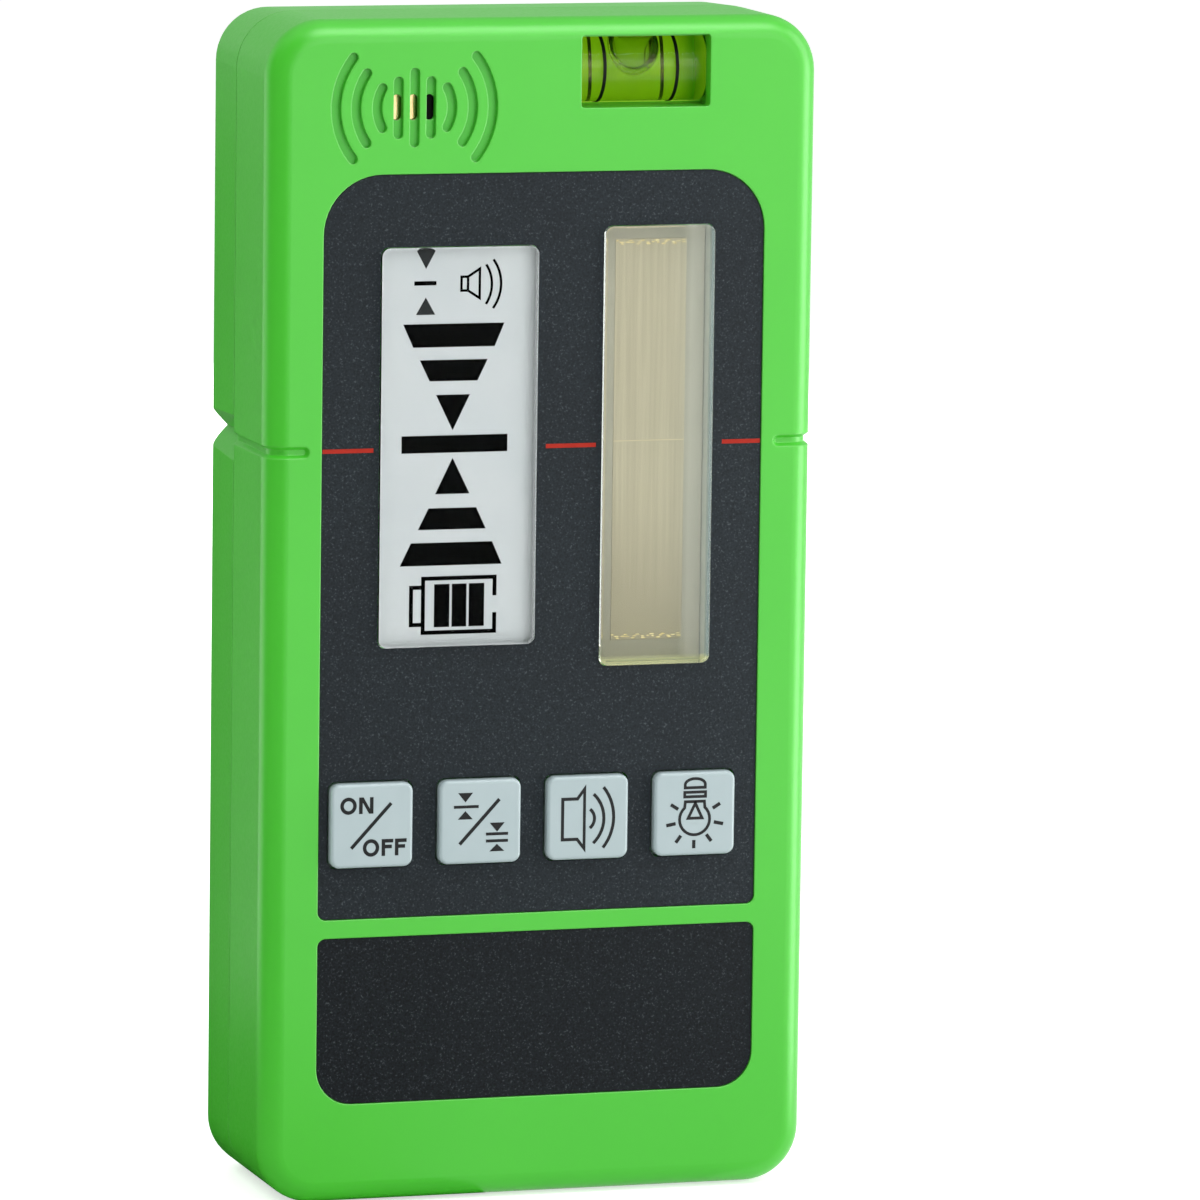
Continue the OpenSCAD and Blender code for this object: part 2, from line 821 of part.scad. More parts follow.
// Sheet in the sensor well, a clearance smaller than the well all round
module well_sheet(y, t) {
  w = well_w - 2 * well_wall - 2 * clear;
  h = well_h - 2 * well_wall - 2 * clear;
  translate([sensor_x - w / 2, y, sensor_z - h / 2])
    cube([w, t, h]);
}

module sensor_board() {
  color(board_green)
    well_sheet(board_y - cell_board_t, cell_board_t);
}

module sensor_cells() {
  cell_h = sensor_h / 2 - cell_space;
  color([0.12, 0.13, 0.22])
    for (s = [-1, 1])
      translate([sensor_x - sensor_w / 2 + cell_edge, board_y - cell_board_t - cell_t,
        sensor_z + s * sensor_h / 4 - cell_h / 2])
        cube([sensor_w - 2 * cell_edge, cell_t, cell_h]);
}

module sensor_filter() {
  color([0.78, 0.75, 0.64])
    well_sheet(board_y - cell_board_t - cell_t - filter_t, filter_t);
}

module main_board() {
  color(board_green)
    difference() {
      along_y(board_y, board_rear_y)
        outline(0, case_w - 2 * wall - 2 * board_side, board_bottom, board_top, board_corner, board_corner);
      at_board_screws()
        rod(0, 0, board_hole_r, board_y - sink, board_rear_y + sink);
      buzzer_pin_places()
        rod(0, 0, buzzer_pin_r + clear, board_y - sink, board_rear_y + sink);
    }
}

module board_screws() {
  color(steel)
    at_board_screws() {
      rod(0, 0, post_hole_r - slip, board_y - board_screw_reach, board_rear_y + eps);
      rod(0, 0, board_screw_head_r, board_rear_y, board_rear_y + board_screw_head_h);
    }
}

// Component block on the back of the main board
module board_block(x, z, w, h, t) {
  translate([x - w / 2, board_rear_y, z - h / 2])
    cube([w, t, h]);
}

module controller_chip() {
  color(black)
    board_block(display_x, zero_z, controller_side, controller_side, controller_t);
}

module amplifier_chips() {
  color(black)
    for (step = [-1, 0, 1])
      board_block(sensor_x, zero_z + step * sensor_h / 3, amplifier_w, amplifier_h, amplifier_t);
}

module filter_capacitors() {
  color([0.20, 0.22, 0.32])
    for (z = [post_low_z, post_low_z + 3 * capacitor_r, post_high_z - 4 * capacitor_r])
      rod((display_x + sensor_x) / 2, z, capacitor_r, board_rear_y, board_rear_y + capacitor_h);
}

module key_switches() {
  color(black)
    for (i = [0 : 3])
      difference() {
        translate([key_x(i) - switch_size / 2, switch_y, key_z - switch_size / 2])
          cube([switch_size, switch_h, switch_size]);
        rod(key_x(i), key_z, plunger_r + plunger_clear,
          switch_y - sink, switch_y + plunger_seat + key_travel + clear);
      }
}

module key(i) {
  color(pale) {
    translate([key_x(i), front_y - key_proud, key_z])
      rounded_slab(key_size, key_size, key_proud + wall + clear + eps, key_corner, key_edge);
    along_y(inner_y + clear, inner_y + clear + key_flange_t)
      centred_outline(key_x(i), key_z, key_size + 2 * key_flange, key_size + 2 * key_flange, key_corner);
    rod(key_x(i), key_z, stem_r, inner_y + clear + key_flange_t - eps, plunger_y);
  }
}

module plunger(i) {
  color([0.85, 0.83, 0.78])
    rod(key_x(i), key_z, plunger_r, plunger_y, switch_y + plunger_seat);
}

module power_key() {
  key(0);
}

module precision_key() {
  key(1);
}

module sound_key() {
  key(2);
}

module light_key() {
  key(3);
}

module power_plunger() {
  plunger(0);
}

module precision_plunger() {
  plunger(1);
}

module sound_plunger() {
  plunger(2);
}

module light_plunger() {
  plunger(3);
}

module buzzer_pin_places() {
  for (s = [-1, 1])
    translate([buzzer_x + s * buzzer_pin_space, 0, sound_z - buzzer_pin_drop])
      children();
}

module buzzer_case() {
  color(black)
    difference() {
      rod(buzzer_x, sound_z, buzzer_r, buzzer_y, buzzer_rear_y);
      rod(buzzer_x, sound_z, buzzer_r - buzzer_wall, buzzer_y + buzzer_face, buzzer_rear_y - buzzer_wall);
      rod(buzzer_x, sound_z, buzzer_hole_r, buzzer_y - sink, buzzer_y + buzzer_wall);
    }
}

module buzzer_disc() {
  disc_y = buzzer_y + buzzer_face + slip;
  color(brass)
    rod(buzzer_x, sound_z, buzzer_r - buzzer_wall - slip, disc_y, disc_y + buzzer_disc_t);
}

module buzzer_pins() {
  color(steel)
    buzzer_pin_places()
      rod(0, 0, buzzer_pin_r, buzzer_rear_y, board_rear_y + buzzer_pin_tail);
}

// Rod along X, centred on the vial
module vial_rod(r, length, x = 0) {
  translate([vial_x + x, vial_y, vial_z])
    rotate([0, 90, 0])
      cylinder(r = r, h = length, center = true);
}

module vial_tube() {
  color([0.88, 0.92, 0.80, 0.4])
    difference() {
      vial_rod(vial_r, vial_length);
      vial_rod(vial_r - vial_wall, vial_length + 2 * sink);
    }
}

module vial_fluid() {
  color([0.60, 0.80, 0.10, 0.7])
    difference() {
      vial_rod(vial_r - vial_wall - eps, vial_length - 2 * plug_length);
      translate([vial_x, vial_y, vial_z + vial_r - vial_wall - bubble_r - bubble_skin]) {
        rotate([0, 90, 0])
          cylinder(r = bubble_r, h = 2 * bubble_half, center = true);
        for (s = [-1, 1])
          translate([s * bubble_half, 0, 0])
            sphere(r = bubble_r);
      }
    }
}

module vial_plugs() {
  color(pale)
    for (s = [-1, 1])
      vial_rod(vial_r - vial_wall - eps, plug_length - slip, s * (vial_length - plug_length) / 2);
}

module vial_rings() {
  color(black)
    for (s = [-1, 1])
      difference() {
        vial_rod(vial_r + ring_t, ring_w, s * ring_pitch / 2);
        vial_rod(vial_r + eps, 2 * ring_w, s * ring_pitch / 2);
      }
}

module vial_cradle() {
  color(green)
    difference() {
      translate([vial_x - cradle_w / 2, inner_y, cradle_bottom])
        cube([cradle_w, cradle_depth, cradle_top - cradle_bottom]);
      vial_rod(vial_r + vial_room, vial_length + 2 * clear);
      translate([vial_x - vial_open_w / 2 - vial_open_corner, inner_y - sink, vial_open_bottom])
        cube([vial_open_w + 2 * vial_open_corner, vial_y - inner_y + sink,
          cradle_top - vial_open_bottom - sink]);
    }
}

module battery_door() {
  color(green)
    difference() {
      union() {
        along_y(rear_y - door_t, rear_y)
          outline(0, door_w, hinge_z, door_top, door_corner, door_foot_corner);
        translate([-door_w / 2, hinge_y, hinge_z])
          rotate([0, 90, 0])
            cylinder(r = barrel_r, h = door_w);
        translate([-door_w / 2 - pin_length, hinge_y, hinge_z])
          rotate([0, 90, 0])
            cylinder(r = hinge_pin_r, h = door_w + 2 * pin_length);
      }
      for (k = [0 : 3])
        translate([-grip_w / 2, rear_y - grip_depth, door_top - grip_drop - grip_pitch * k])
          cube([grip_w, grip_depth + sink, grip_line]);
    }
}

module door_pad() {
  color([0.15, 0.15, 0.16])
    translate([battery_x - pad_w / 2, rear_y - door_t - pad_t, battery_z - pad_h / 2])
      cube([pad_w, pad_t, pad_h]);
}

module battery() {
  color([0.20, 0.21, 0.24])
    along_y(battery_front_y, battery_rear_y)
      centred_outline(battery_x, battery_z, battery_length, battery_h, battery_corner);
}

// Rod along X from the battery's end, up or down from its middle
module terminal_rod(s, r, x0, x1) {
  translate([x0, battery_mid_y, battery_z + s * terminal_pitch / 2])
    rotate([0, 90, 0])
      cylinder(r = r, h = x1 - x0);
}

module battery_terminals() {
  color(steel)
    for (s = [-1, 1])
      terminal_rod(s, s < 0 ? post_terminal_r : socket_terminal_r, terminal_x, terminal_x + terminal_h);
}

module battery_snap() {
  color(black)
    difference() {
      translate([terminal_x - snap_back, battery_front_y + snap_edge, battery_z - battery_h / 2 + snap_edge])
        cube([snap_back + snap_grip, battery_t - 2 * snap_edge, battery_h - 2 * snap_edge]);
      for (s = [-1, 1])
        terminal_rod(s, (s < 0 ? post_terminal_r : socket_terminal_r) + clear, terminal_x - slip,
          terminal_x + terminal_h);
    }
}

// Round wire through a list of points
module wire(points) {
  for (i = [0 : len(points) - 2]) {
    leg = points[i + 1] - points[i];
    translate(points[i]) {
      rotate([0, acos(leg[2] / norm(leg)), atan2(leg[1], leg[0])])
        cylinder(r = lead_r, h = norm(leg));
      sphere(r = bend_r);
    }
  }
}

module lead(y, pad_x) {
  pad_z = board_bottom + lead_tail;
  wire([
    [lead_x, y, battery_z + lead_start],
    [lead_x, y, bay_top + lead_rise],
    [pad_x, board_rear_y + lead_tail, pad_z],
    [pad_x, board_rear_y, pad_z]
  ]);
}

module positive_lead() {
  color([0.75, 0.10, 0.08])
    lead(positive_y, positive_pad_x);
}

module negative_lead() {
  color(black)
    lead(negative_y, negative_pad_x);
}

front_shell();
rear_shell();
case_screws();
clamp_insert();
panel_overlay();
lower_label();
display_window();
sensor_window();
lcd_glass();
lcd_backlight();
lcd_frame();
zebra_strips();
sensor_housing();
sensor_filter();
sensor_cells();
sensor_board();
main_board();
board_screws();
controller_chip();
amplifier_chips();
filter_capacitors();
key_switches();
power_key();
precision_key();
sound_key();
light_key();
power_plunger();
precision_plunger();
sound_plunger();
light_plunger();
buzzer_case();
buzzer_disc();
buzzer_pins();
vial_tube();
vial_fluid();
vial_rings();
vial_plugs();
vial_cradle();
battery_door();
door_pad();
battery();
battery_terminals();
battery_snap();
positive_lead();
negative_lead();
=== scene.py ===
import json
import math
import bpy
import bmesh
from mathutils import Matrix, Vector

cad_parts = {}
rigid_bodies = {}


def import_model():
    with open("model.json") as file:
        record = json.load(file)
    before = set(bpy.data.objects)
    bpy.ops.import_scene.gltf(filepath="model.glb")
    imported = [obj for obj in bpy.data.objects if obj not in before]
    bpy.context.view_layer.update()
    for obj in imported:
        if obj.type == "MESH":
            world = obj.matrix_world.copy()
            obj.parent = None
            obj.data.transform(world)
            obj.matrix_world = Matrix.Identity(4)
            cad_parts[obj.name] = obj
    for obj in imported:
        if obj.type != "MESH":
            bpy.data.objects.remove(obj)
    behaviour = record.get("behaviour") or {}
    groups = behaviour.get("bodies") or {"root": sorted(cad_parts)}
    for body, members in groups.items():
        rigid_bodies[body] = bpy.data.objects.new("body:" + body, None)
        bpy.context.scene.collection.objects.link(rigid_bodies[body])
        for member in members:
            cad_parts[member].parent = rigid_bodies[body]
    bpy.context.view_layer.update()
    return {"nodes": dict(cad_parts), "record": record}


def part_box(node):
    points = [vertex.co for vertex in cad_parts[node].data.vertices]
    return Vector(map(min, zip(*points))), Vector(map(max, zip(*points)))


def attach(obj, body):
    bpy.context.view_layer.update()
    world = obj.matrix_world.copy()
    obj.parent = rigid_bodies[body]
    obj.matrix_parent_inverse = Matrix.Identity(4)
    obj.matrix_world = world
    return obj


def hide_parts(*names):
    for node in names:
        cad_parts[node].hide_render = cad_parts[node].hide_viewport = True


for leftover in list(bpy.data.objects):
    bpy.data.objects.remove(leftover)
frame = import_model()
nodes = frame["nodes"]
scene = bpy.context.scene
mm = 0.001


def linear(hexColour):
    parts = [int(hexColour[i:i + 2], 16) / 255 for i in (1, 3, 5)]
    return [c / 12.92 if c <= 0.04045 else ((c + 0.055) / 1.055) ** 2.4 for c in parts] + [1.0]


def perMm(size):
    return 1 / (size * mm)  # pattern scale for one feature every so many millimetres


def addNode(tree, kind, settings=None, values=None, links=None):
    node = tree.nodes.new(kind)
    for name, value in (settings or {}).items():
        setattr(node, name, value)
    for socket, value in (values or {}).items():
        node.inputs[socket].default_value = value
    for socket, source in (links or {}).items():
        tree.links.new(source, node.inputs[socket])
    return node


mixShare, mixFirst, mixSecond, mixOut = 0, 6, 7, 2  # sockets of a Mix node that mixes colours
white, black = linear("#FFFFFF"), linear("#000000")


def newMaterial(name):
    material = bpy.data.materials.new(name)
    material.use_nodes = True
    tree = material.node_tree
    shader = tree.nodes["Principled BSDF"]
    place = addNode(tree, "ShaderNodeTexCoord").outputs["Object"]
    return material, tree, shader, place


def newObject(name, mesh, material):
    data = bpy.data.meshes.new(name)
    mesh.to_mesh(data)
    mesh.free()
    data.materials.append(material)
    made = bpy.data.objects.new(name, data)
    scene.collection.objects.link(made)
    return made


# Noise gathers round its middle, so only that stretch of it is spread over a look
noiseSpan = {"tone": (0.32, 0.68), "gloss": (0.3, 0.7), "smear": (0.35, 0.65)}
edgeTurn = {"flat": 0.995, "round": 0.8}  # how far the rounded normal still agrees with the flat one


# Moulded, printed and drawn surfaces: a slow change of tone, a fine grain in bump and gloss, a painted
# highlight that lightens rounded edges to a paler tone. Most real grain is under 0.1 mm and is drawn coarser,
# so that it shows.
def grainedFinish(look):
    material, tree, shader, place = newMaterial(look["name"])
    stretched = addNode(tree, "ShaderNodeVectorMath", {"operation": "MULTIPLY"},
                        {1: look.get("stretch", (1, 1, 1))}, {0: place}).outputs[0]
    tone = addNode(tree, "ShaderNodeTexNoise", None,
                   {"Scale": perMm(look["toneSize"]), "Detail": 4, "Roughness": 0.6}, {"Vector": stretched})
    toneLow, toneHigh = noiseSpan["tone"]
    toneShare = addNode(tree, "ShaderNodeMapRange", None,
                        {"From Min": toneLow, "From Max": toneHigh}, {"Value": tone.outputs["Fac"]})
    colour = addNode(tree, "ShaderNodeMix", {"data_type": "RGBA"},
                     {mixFirst: linear(look["colour"]), mixSecond: linear(look["tone"])},
                     {mixShare: toneShare.outputs[0]}).outputs[mixOut]
    grain = addNode(tree, "ShaderNodeTexNoise", None,
                    {"Scale": perMm(look["grainSize"]), "Detail": 3, "Roughness": 0.55},
                    {"Vector": stretched}).outputs["Fac"]
    for start, end, share, gritColour in look.get("grit", []):  # dark pits and pale grains of a velvet film
        gritShare = addNode(tree, "ShaderNodeMapRange", None,
                            {"From Min": start, "From Max": end, "To Max": share}, {"Value": grain})
        colour = addNode(tree, "ShaderNodeMix", {"data_type": "RGBA"}, {mixSecond: linear(gritColour)},
                         {mixShare: gritShare.outputs[0], mixFirst: colour}).outputs[mixOut]
    if "shade" in look:  # change to another colour along one axis: a printed band, or painted shade toward one end
        axis, start, end, shadeColour = look["shade"]
        along = addNode(tree, "ShaderNodeSeparateXYZ", None, None, {0: place}).outputs[axis]
        shadeShare = addNode(tree, "ShaderNodeMapRange", {"interpolation_type": "SMOOTHSTEP"},
                             {"From Min": start * mm, "From Max": end * mm}, {"Value": along})
        colour = addNode(tree, "ShaderNodeMix", {"data_type": "RGBA"}, {mixSecond: linear(shadeColour)},
                         {mixShare: shadeShare.outputs[0], mixFirst: colour}).outputs[mixOut]
    rounded = addNode(tree, "ShaderNodeBevel", {"samples": 6}, {"Radius": look["edge"] * mm}).outputs[0]
    # painted highlight: rounded edges lightened toward a paler colour
    if "paintedEdgeHighlight" in look:
        flat = addNode(tree, "ShaderNodeNewGeometry").outputs["Normal"]
        turn = addNode(tree, "ShaderNodeVectorMath", {"operation": "DOT_PRODUCT"}, None,
                       {0: rounded, 1: flat})
        paintedEdgeShare = addNode(tree, "ShaderNodeMapRange", None,
                            {"From Min": edgeTurn["flat"], "From Max": edgeTurn["round"],
                             "To Max": look["paintedEdgeShare"]}, {"Value": turn.outputs["Value"]})
        colour = addNode(tree, "ShaderNodeMix", {"data_type": "RGBA"}, {mixSecond: linear(look["paintedEdgeHighlight"])},
                         {mixShare: paintedEdgeShare.outputs[0], mixFirst: colour}).outputs[mixOut]
    glossLow, glossHigh = noiseSpan["gloss"]
    rough = addNode(tree, "ShaderNodeMapRange", None,
                    {"From Min": glossLow, "From Max": glossHigh,
                     "To Min": look["rough"][0], "To Max": look["rough"][1]}, {"Value": grain})
    bump = addNode(tree, "ShaderNodeBump", None, {"Strength": 1.0, "Distance": look["grainDepth"] * mm},
                   {"Height": grain, "Normal": rounded})
    tree.links.new(colour, shader.inputs["Base Color"])
    tree.links.new(rough.outputs[0], shader.inputs["Roughness"])
    tree.links.new(bump.outputs[0], shader.inputs["Normal"])
    if look.get("metal"):
        shader.inputs["Metallic"].default_value = 1.0
    else:
        shader.inputs["IOR"].default_value = look.get("ior", 1.5)
        shader.inputs["Specular IOR Level"].default_value = look.get("shine", 0.5)
    if "glow" in look:  # painted light: the surface gives its own colour back as light, though it is no lamp
        tree.links.new(colour, shader.inputs["Emission Color"])
        shader.inputs["Emission Strength"].default_value = look["glow"]
    return material


# ABS moulded in a finely eroded tool: even pigment, satin gloss, soft highlight along every rounding, partly
# from the gloss and partly painted as a paler edge tone
greenAbs = grainedFinish({
    "name": "abs green moulded satin", "colour": "#46C12C", "tone": "#43BE2A", "toneSize": 38,
    "grainSize": 0.5, "grainDepth": 0.004,
    "rough": (0.29, 0.38), "edge": 0.3, "paintedEdgeHighlight": "#86E273", "paintedEdgeShare": 0.45, "ior": 1.54})

# Polycarbonate film printed on its back, fine velvet front: near black with grey grit, edges with a painted
# highlight
slateFilm = grainedFinish({
    "name": "polycarbonate film slate velvet", "colour": "#20282D", "tone": "#1D2429", "toneSize": 22,
    "grainSize": 0.3, "grainDepth": 0.01,
    "grit": [(0.52, 0.32, 0.8, "#0F1518"), (0.6, 0.72, 0.4, "#646C70")],
    "rough": (0.45, 0.62), "edge": 0.12, "paintedEdgeHighlight": "#4A5054", "paintedEdgeShare": 0.4, "ior": 1.58, "shine": 0.12})

labelFilm = grainedFinish({  # the same film over a denser black, with the same painted edge highlight
    "name": "polycarbonate film black velvet", "colour": "#161C20", "tone": "#13191D", "toneSize": 22,
    "grainSize": 0.3, "grainDepth": 0.01,
    "grit": [(0.52, 0.32, 0.8, "#080B0D"), (0.6, 0.72, 0.4, "#5C6367")],
    "rough": (0.45, 0.62), "edge": 0.12, "paintedEdgeHighlight": "#4A5054", "paintedEdgeShare": 0.4, "ior": 1.58, "shine": 0.1})

# Light grey keys moulded in polished ABS: smooth, a clear rim highlight, painted in a paler tone on the rounded
# edges
keyAbs = grainedFinish({
    "name": "abs pale grey polished", "colour": "#ADBDC0", "tone": "#A8B9BC", "toneSize": 9,
    "grainSize": 0.45, "grainDepth": 0.003, "rough": (0.3, 0.38), "edge": 0.25,
    "paintedEdgeHighlight": "#DFE8E9", "paintedEdgeShare": 0.3, "ior": 1.54})

# Screen-printed inks: thin, even, slightly rough at the mesh of the screen
keyInk = grainedFinish({  # dull and dark against the key
    "name": "screen ink dark grey", "colour": "#121415", "tone": "#17191A", "toneSize": 2,
    "grainSize": 0.3, "grainDepth": 0.004, "rough": (0.45, 0.6), "edge": 0.02, "shine": 0.25})
redInk = grainedFinish({  # flat opaque red
    "name": "screen ink signal red", "colour": "#B02E21", "tone": "#A6281C", "toneSize": 3,
    "grainSize": 0.3, "grainDepth": 0.006, "rough": (0.45, 0.6), "edge": 0.02, "shine": 0.1})
ringInk = grainedFinish({  # black bands, faint gleam
    "name": "index ring paint black", "colour": "#0C0E0C", "tone": "#151815", "toneSize": 2,
    "grainSize": 0.25, "grainDepth": 0.003, "rough": (0.35, 0.5), "edge": 0.03, "shine": 0.1})
segmentCrystal = grainedFinish({  # as dark as a display gets, no gleam
    "name": "liquid crystal dark segment", "colour": "#040505", "tone": "#070808", "toneSize": 3,
    "grainSize": 0.4, "grainDepth": 0.001, "rough": (0.4, 0.5), "edge": 0.02, "shine": 0.0})
faintCrystal = grainedFinish({  # marks driven at half strength
    "name": "liquid crystal half segment", "colour": "#202324", "tone": "#262A2B", "toneSize": 3,
    "grainSize": 0.4, "grainDepth": 0.001, "rough": (0.4, 0.5), "edge": 0.02, "shine": 0.2})

# Polariser film over the display glass: pale cool grey with a breath of unevenness, lifted by a faint painted
# glow
lcdFilm = grainedFinish({
    "name": "polariser film pale grey", "colour": "#D9DDDE", "tone": "#D3D8DA", "toneSize": 16,
    "grainSize": 0.5, "grainDepth": 0.001, "rough": (0.35, 0.45), "edge": 0.1, "shine": 0.15, "glow": 0.06})
backlightAcrylic = grainedFinish({  # milky, spreads the light evenly
    "name": "acrylic light guide frosted", "colour": "#E8EEF0", "tone": "#DFE7EA", "toneSize": 6,
    "grainSize": 0.6, "grainDepth": 0.01, "rough": (0.3, 0.45), "edge": 0.2})
frameAbs = grainedFinish({  # plain dull white
    "name": "abs white moulded", "colour": "#DEDEDA", "tone": "#D6D6D1", "toneSize": 7,
    "grainSize": 0.5, "grainDepth": 0.006, "rough": (0.4, 0.55), "edge": 0.2})
contactRubber = grainedFinish({  # dark bands across a pink strip, dull
    "name": "silicone contact strip striped", "colour": "#8E5A60", "tone": "#2A2526", "toneSize": 1.2,
    "grainSize": 0.4, "grainDepth": 0.02, "rough": (0.6, 0.75), "edge": 0.2, "stretch": (1, 0.2, 0.2)})

# Diffusing sheet in the sensor well, and the cast panels of the photocells: drawn in fine upright lines
sensorSheet = grainedFinish({  # warm grey, with painted shade making it a little darker to the foot
    "name": "styrene diffuser warm grey", "colour": "#BEC0B8", "tone": "#B7BAB2", "toneSize": 14,
    "shade": ("Z", 104, 78, "#A7A8A0"),
    "grainSize": 0.5, "grainDepth": 0.004, "rough": (0.45, 0.6), "edge": 0.2})
panelResin = grainedFinish({  # cream with fine upright streaks, with painted shade darker to the foot
    "name": "photocell panel cast resin cream", "colour": "#D4D1C0", "tone": "#C4C1AF", "toneSize": 0.5,
    "shade": ("Z", 104, 76, "#AFAB9A"),
    "grainSize": 0.4, "grainDepth": 0.0004, "rough": (0.4, 0.55), "edge": 0.1, "stretch": (1, 1, 0.015)})
jointGlue = grainedFinish({  # thin pale line
    "name": "clear glue line pale", "colour": "#E9E3CB", "tone": "#E0D9BF", "toneSize": 1.5,
    "grainSize": 0.4, "grainDepth": 0.004, "rough": (0.3, 0.4), "edge": 0.02})
bondGold = grainedFinish({  # short warm glints
    "name": "gold bond wire drawn", "colour": "#F4EBC0", "tone": "#E2D493", "toneSize": 0.6,
    "grainSize": 0.3, "grainDepth": 0.004, "rough": (0.3, 0.45), "edge": 0.03, "metal": True})
housingStyrene = grainedFinish({  # ivory, soft gloss
    "name": "styrene housing ivory moulded", "colour": "#E9E7DD", "tone": "#E1DFD5", "toneSize": 8,
    "grainSize": 0.5, "grainDepth": 0.006, "rough": (0.4, 0.55), "edge": 0.2})
cellGlass = grainedFinish({  # blue black with a clear gleam
    "name": "photocell wafer blue black", "colour": "#14182A", "tone": "#1D2440", "toneSize": 5,
    "grainSize": 0.8, "grainDepth": 0.002, "rough": (0.12, 0.25), "edge": 0.1})

# Inside parts: solder resist, moulded epoxy, sleeved cans, drawn and plated metal
boardResist = grainedFinish({  # deep green gloss, slightly uneven
    "name": "glass epoxy board green resist", "colour": "#0E5A2E", "tone": "#0A4B26", "toneSize": 3,
    "grainSize": 0.7, "grainDepth": 0.02, "rough": (0.25, 0.4), "edge": 0.15})
chipEpoxy = grainedFinish({  # dull black, slightly gritty
    "name": "epoxy chip package black", "colour": "#1B1B1C", "tone": "#232324", "toneSize": 2,
    "grainSize": 0.25, "grainDepth": 0.01, "rough": (0.55, 0.7), "edge": 0.12})
canSleeve = grainedFinish({  # tight dark sleeve, soft gleam
    "name": "pvc sleeve dark blue shrunk", "colour": "#252C45", "tone": "#1E243A", "toneSize": 2,
    "grainSize": 0.6, "grainDepth": 0.01, "rough": (0.25, 0.4), "edge": 0.3})
zincSteel = grainedFinish({  # grey metal, cloudy from the plating
    "name": "steel zinc plated", "colour": "#C4C6C8", "tone": "#AEB1B4", "toneSize": 1.6,
    "grainSize": 0.3, "grainDepth": 0.006, "rough": (0.25, 0.42), "edge": 0.15, "metal": True})
rolledBrass = grainedFinish({  # thin diaphragm, rolled and bright
    "name": "brass foil rolled", "colour": "#F9E3AE", "tone": "#E9C684", "toneSize": 1.2,
    "grainSize": 0.3, "grainDepth": 0.01, "rough": (0.12, 0.22), "edge": 0.05, "metal": True,
    "stretch": (1, 1, 0.15)})
turnedBrass = grainedFinish({  # warm metal, fine streaks along the bush
    "name": "brass turned", "colour": "#E3B866", "tone": "#CFA04C", "toneSize": 2,
    "grainSize": 0.3, "grainDepth": 0.01, "rough": (0.22, 0.4), "edge": 0.15, "metal": True,
    "stretch": (1, 0.1, 1)})
switchNylon = grainedFinish({  # dull black
    "name": "nylon black moulded", "colour": "#1A1A1B", "tone": "#222223", "toneSize": 3,
    "grainSize": 0.4, "grainDepth": 0.008, "rough": (0.5, 0.65), "edge": 0.15})
plungerNylon = grainedFinish({  # waxy off-white
    "name": "nylon natural moulded", "colour": "#DBD6C8", "tone": "#D0CABB", "toneSize": 2,
    "grainSize": 0.4, "grainDepth": 0.006, "rough": (0.4, 0.55), "edge": 0.2})
buzzerAbs = grainedFinish({  # deep black behind the slots
    "name": "abs black semi gloss", "colour": "#060806", "tone": "#0A0C0A", "toneSize": 4,
    "grainSize": 0.5, "grainDepth": 0.006, "rough": (0.3, 0.42), "edge": 0.2, "shine": 0.06})
padFoam = grainedFinish({  # open cells, no gleam
    "name": "foam rubber black open cell", "colour": "#1D1D1E", "tone": "#29292A", "toneSize": 1.5,
    "grainSize": 0.7, "grainDepth": 0.25, "rough": (0.85, 0.95), "edge": 0.3})
band = {"width": 14, "blur": 0.1}  # copper band at the battery's terminal end
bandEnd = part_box("battery")[0].x / mm + band["width"]
batteryJacket = grainedFinish({  # glossy dark print round a can
    "name": "steel can printed jacket", "colour": "#2B2E34", "tone": "#32353C", "toneSize": 12,
    "shade": ("X", bandEnd + band["blur"], bandEnd - band["blur"], "#A8703A"),
    "grainSize": 0.8, "grainDepth": 0.004, "rough": (0.22, 0.34), "edge": 0.4})
redPvc = grainedFinish({  # satin red sleeve
    "name": "pvc wire red", "colour": "#B8201A", "tone": "#A81A15", "toneSize": 2,
    "grainSize": 0.5, "grainDepth": 0.006, "rough": (0.4, 0.5), "edge": 0.1})
blackPvc = grainedFinish({  # satin black sleeve
    "name": "pvc wire black", "colour": "#161617", "tone": "#1E1E1F", "toneSize": 2,
    "grainSize": 0.5, "grainDepth": 0.006, "rough": (0.4, 0.5), "edge": 0.1})

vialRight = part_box("vial_tube")[1].x / mm
backPaint = grainedFinish({  # paint on the back of the vial: throws the dye's colour forward; its glow is painted light and the darker green toward its right end is painted shade
    "name": "vial back paint yellow green", "colour": "#B4E848", "tone": "#A6DE3C", "toneSize": 5,
    "shade": ("X", vialRight - 6, vialRight - 1.5, "#3F9A1C"),
    "grainSize": 0.5, "grainDepth": 0.004, "rough": (0.5, 0.65), "edge": 0.02, "glow": 0.5})
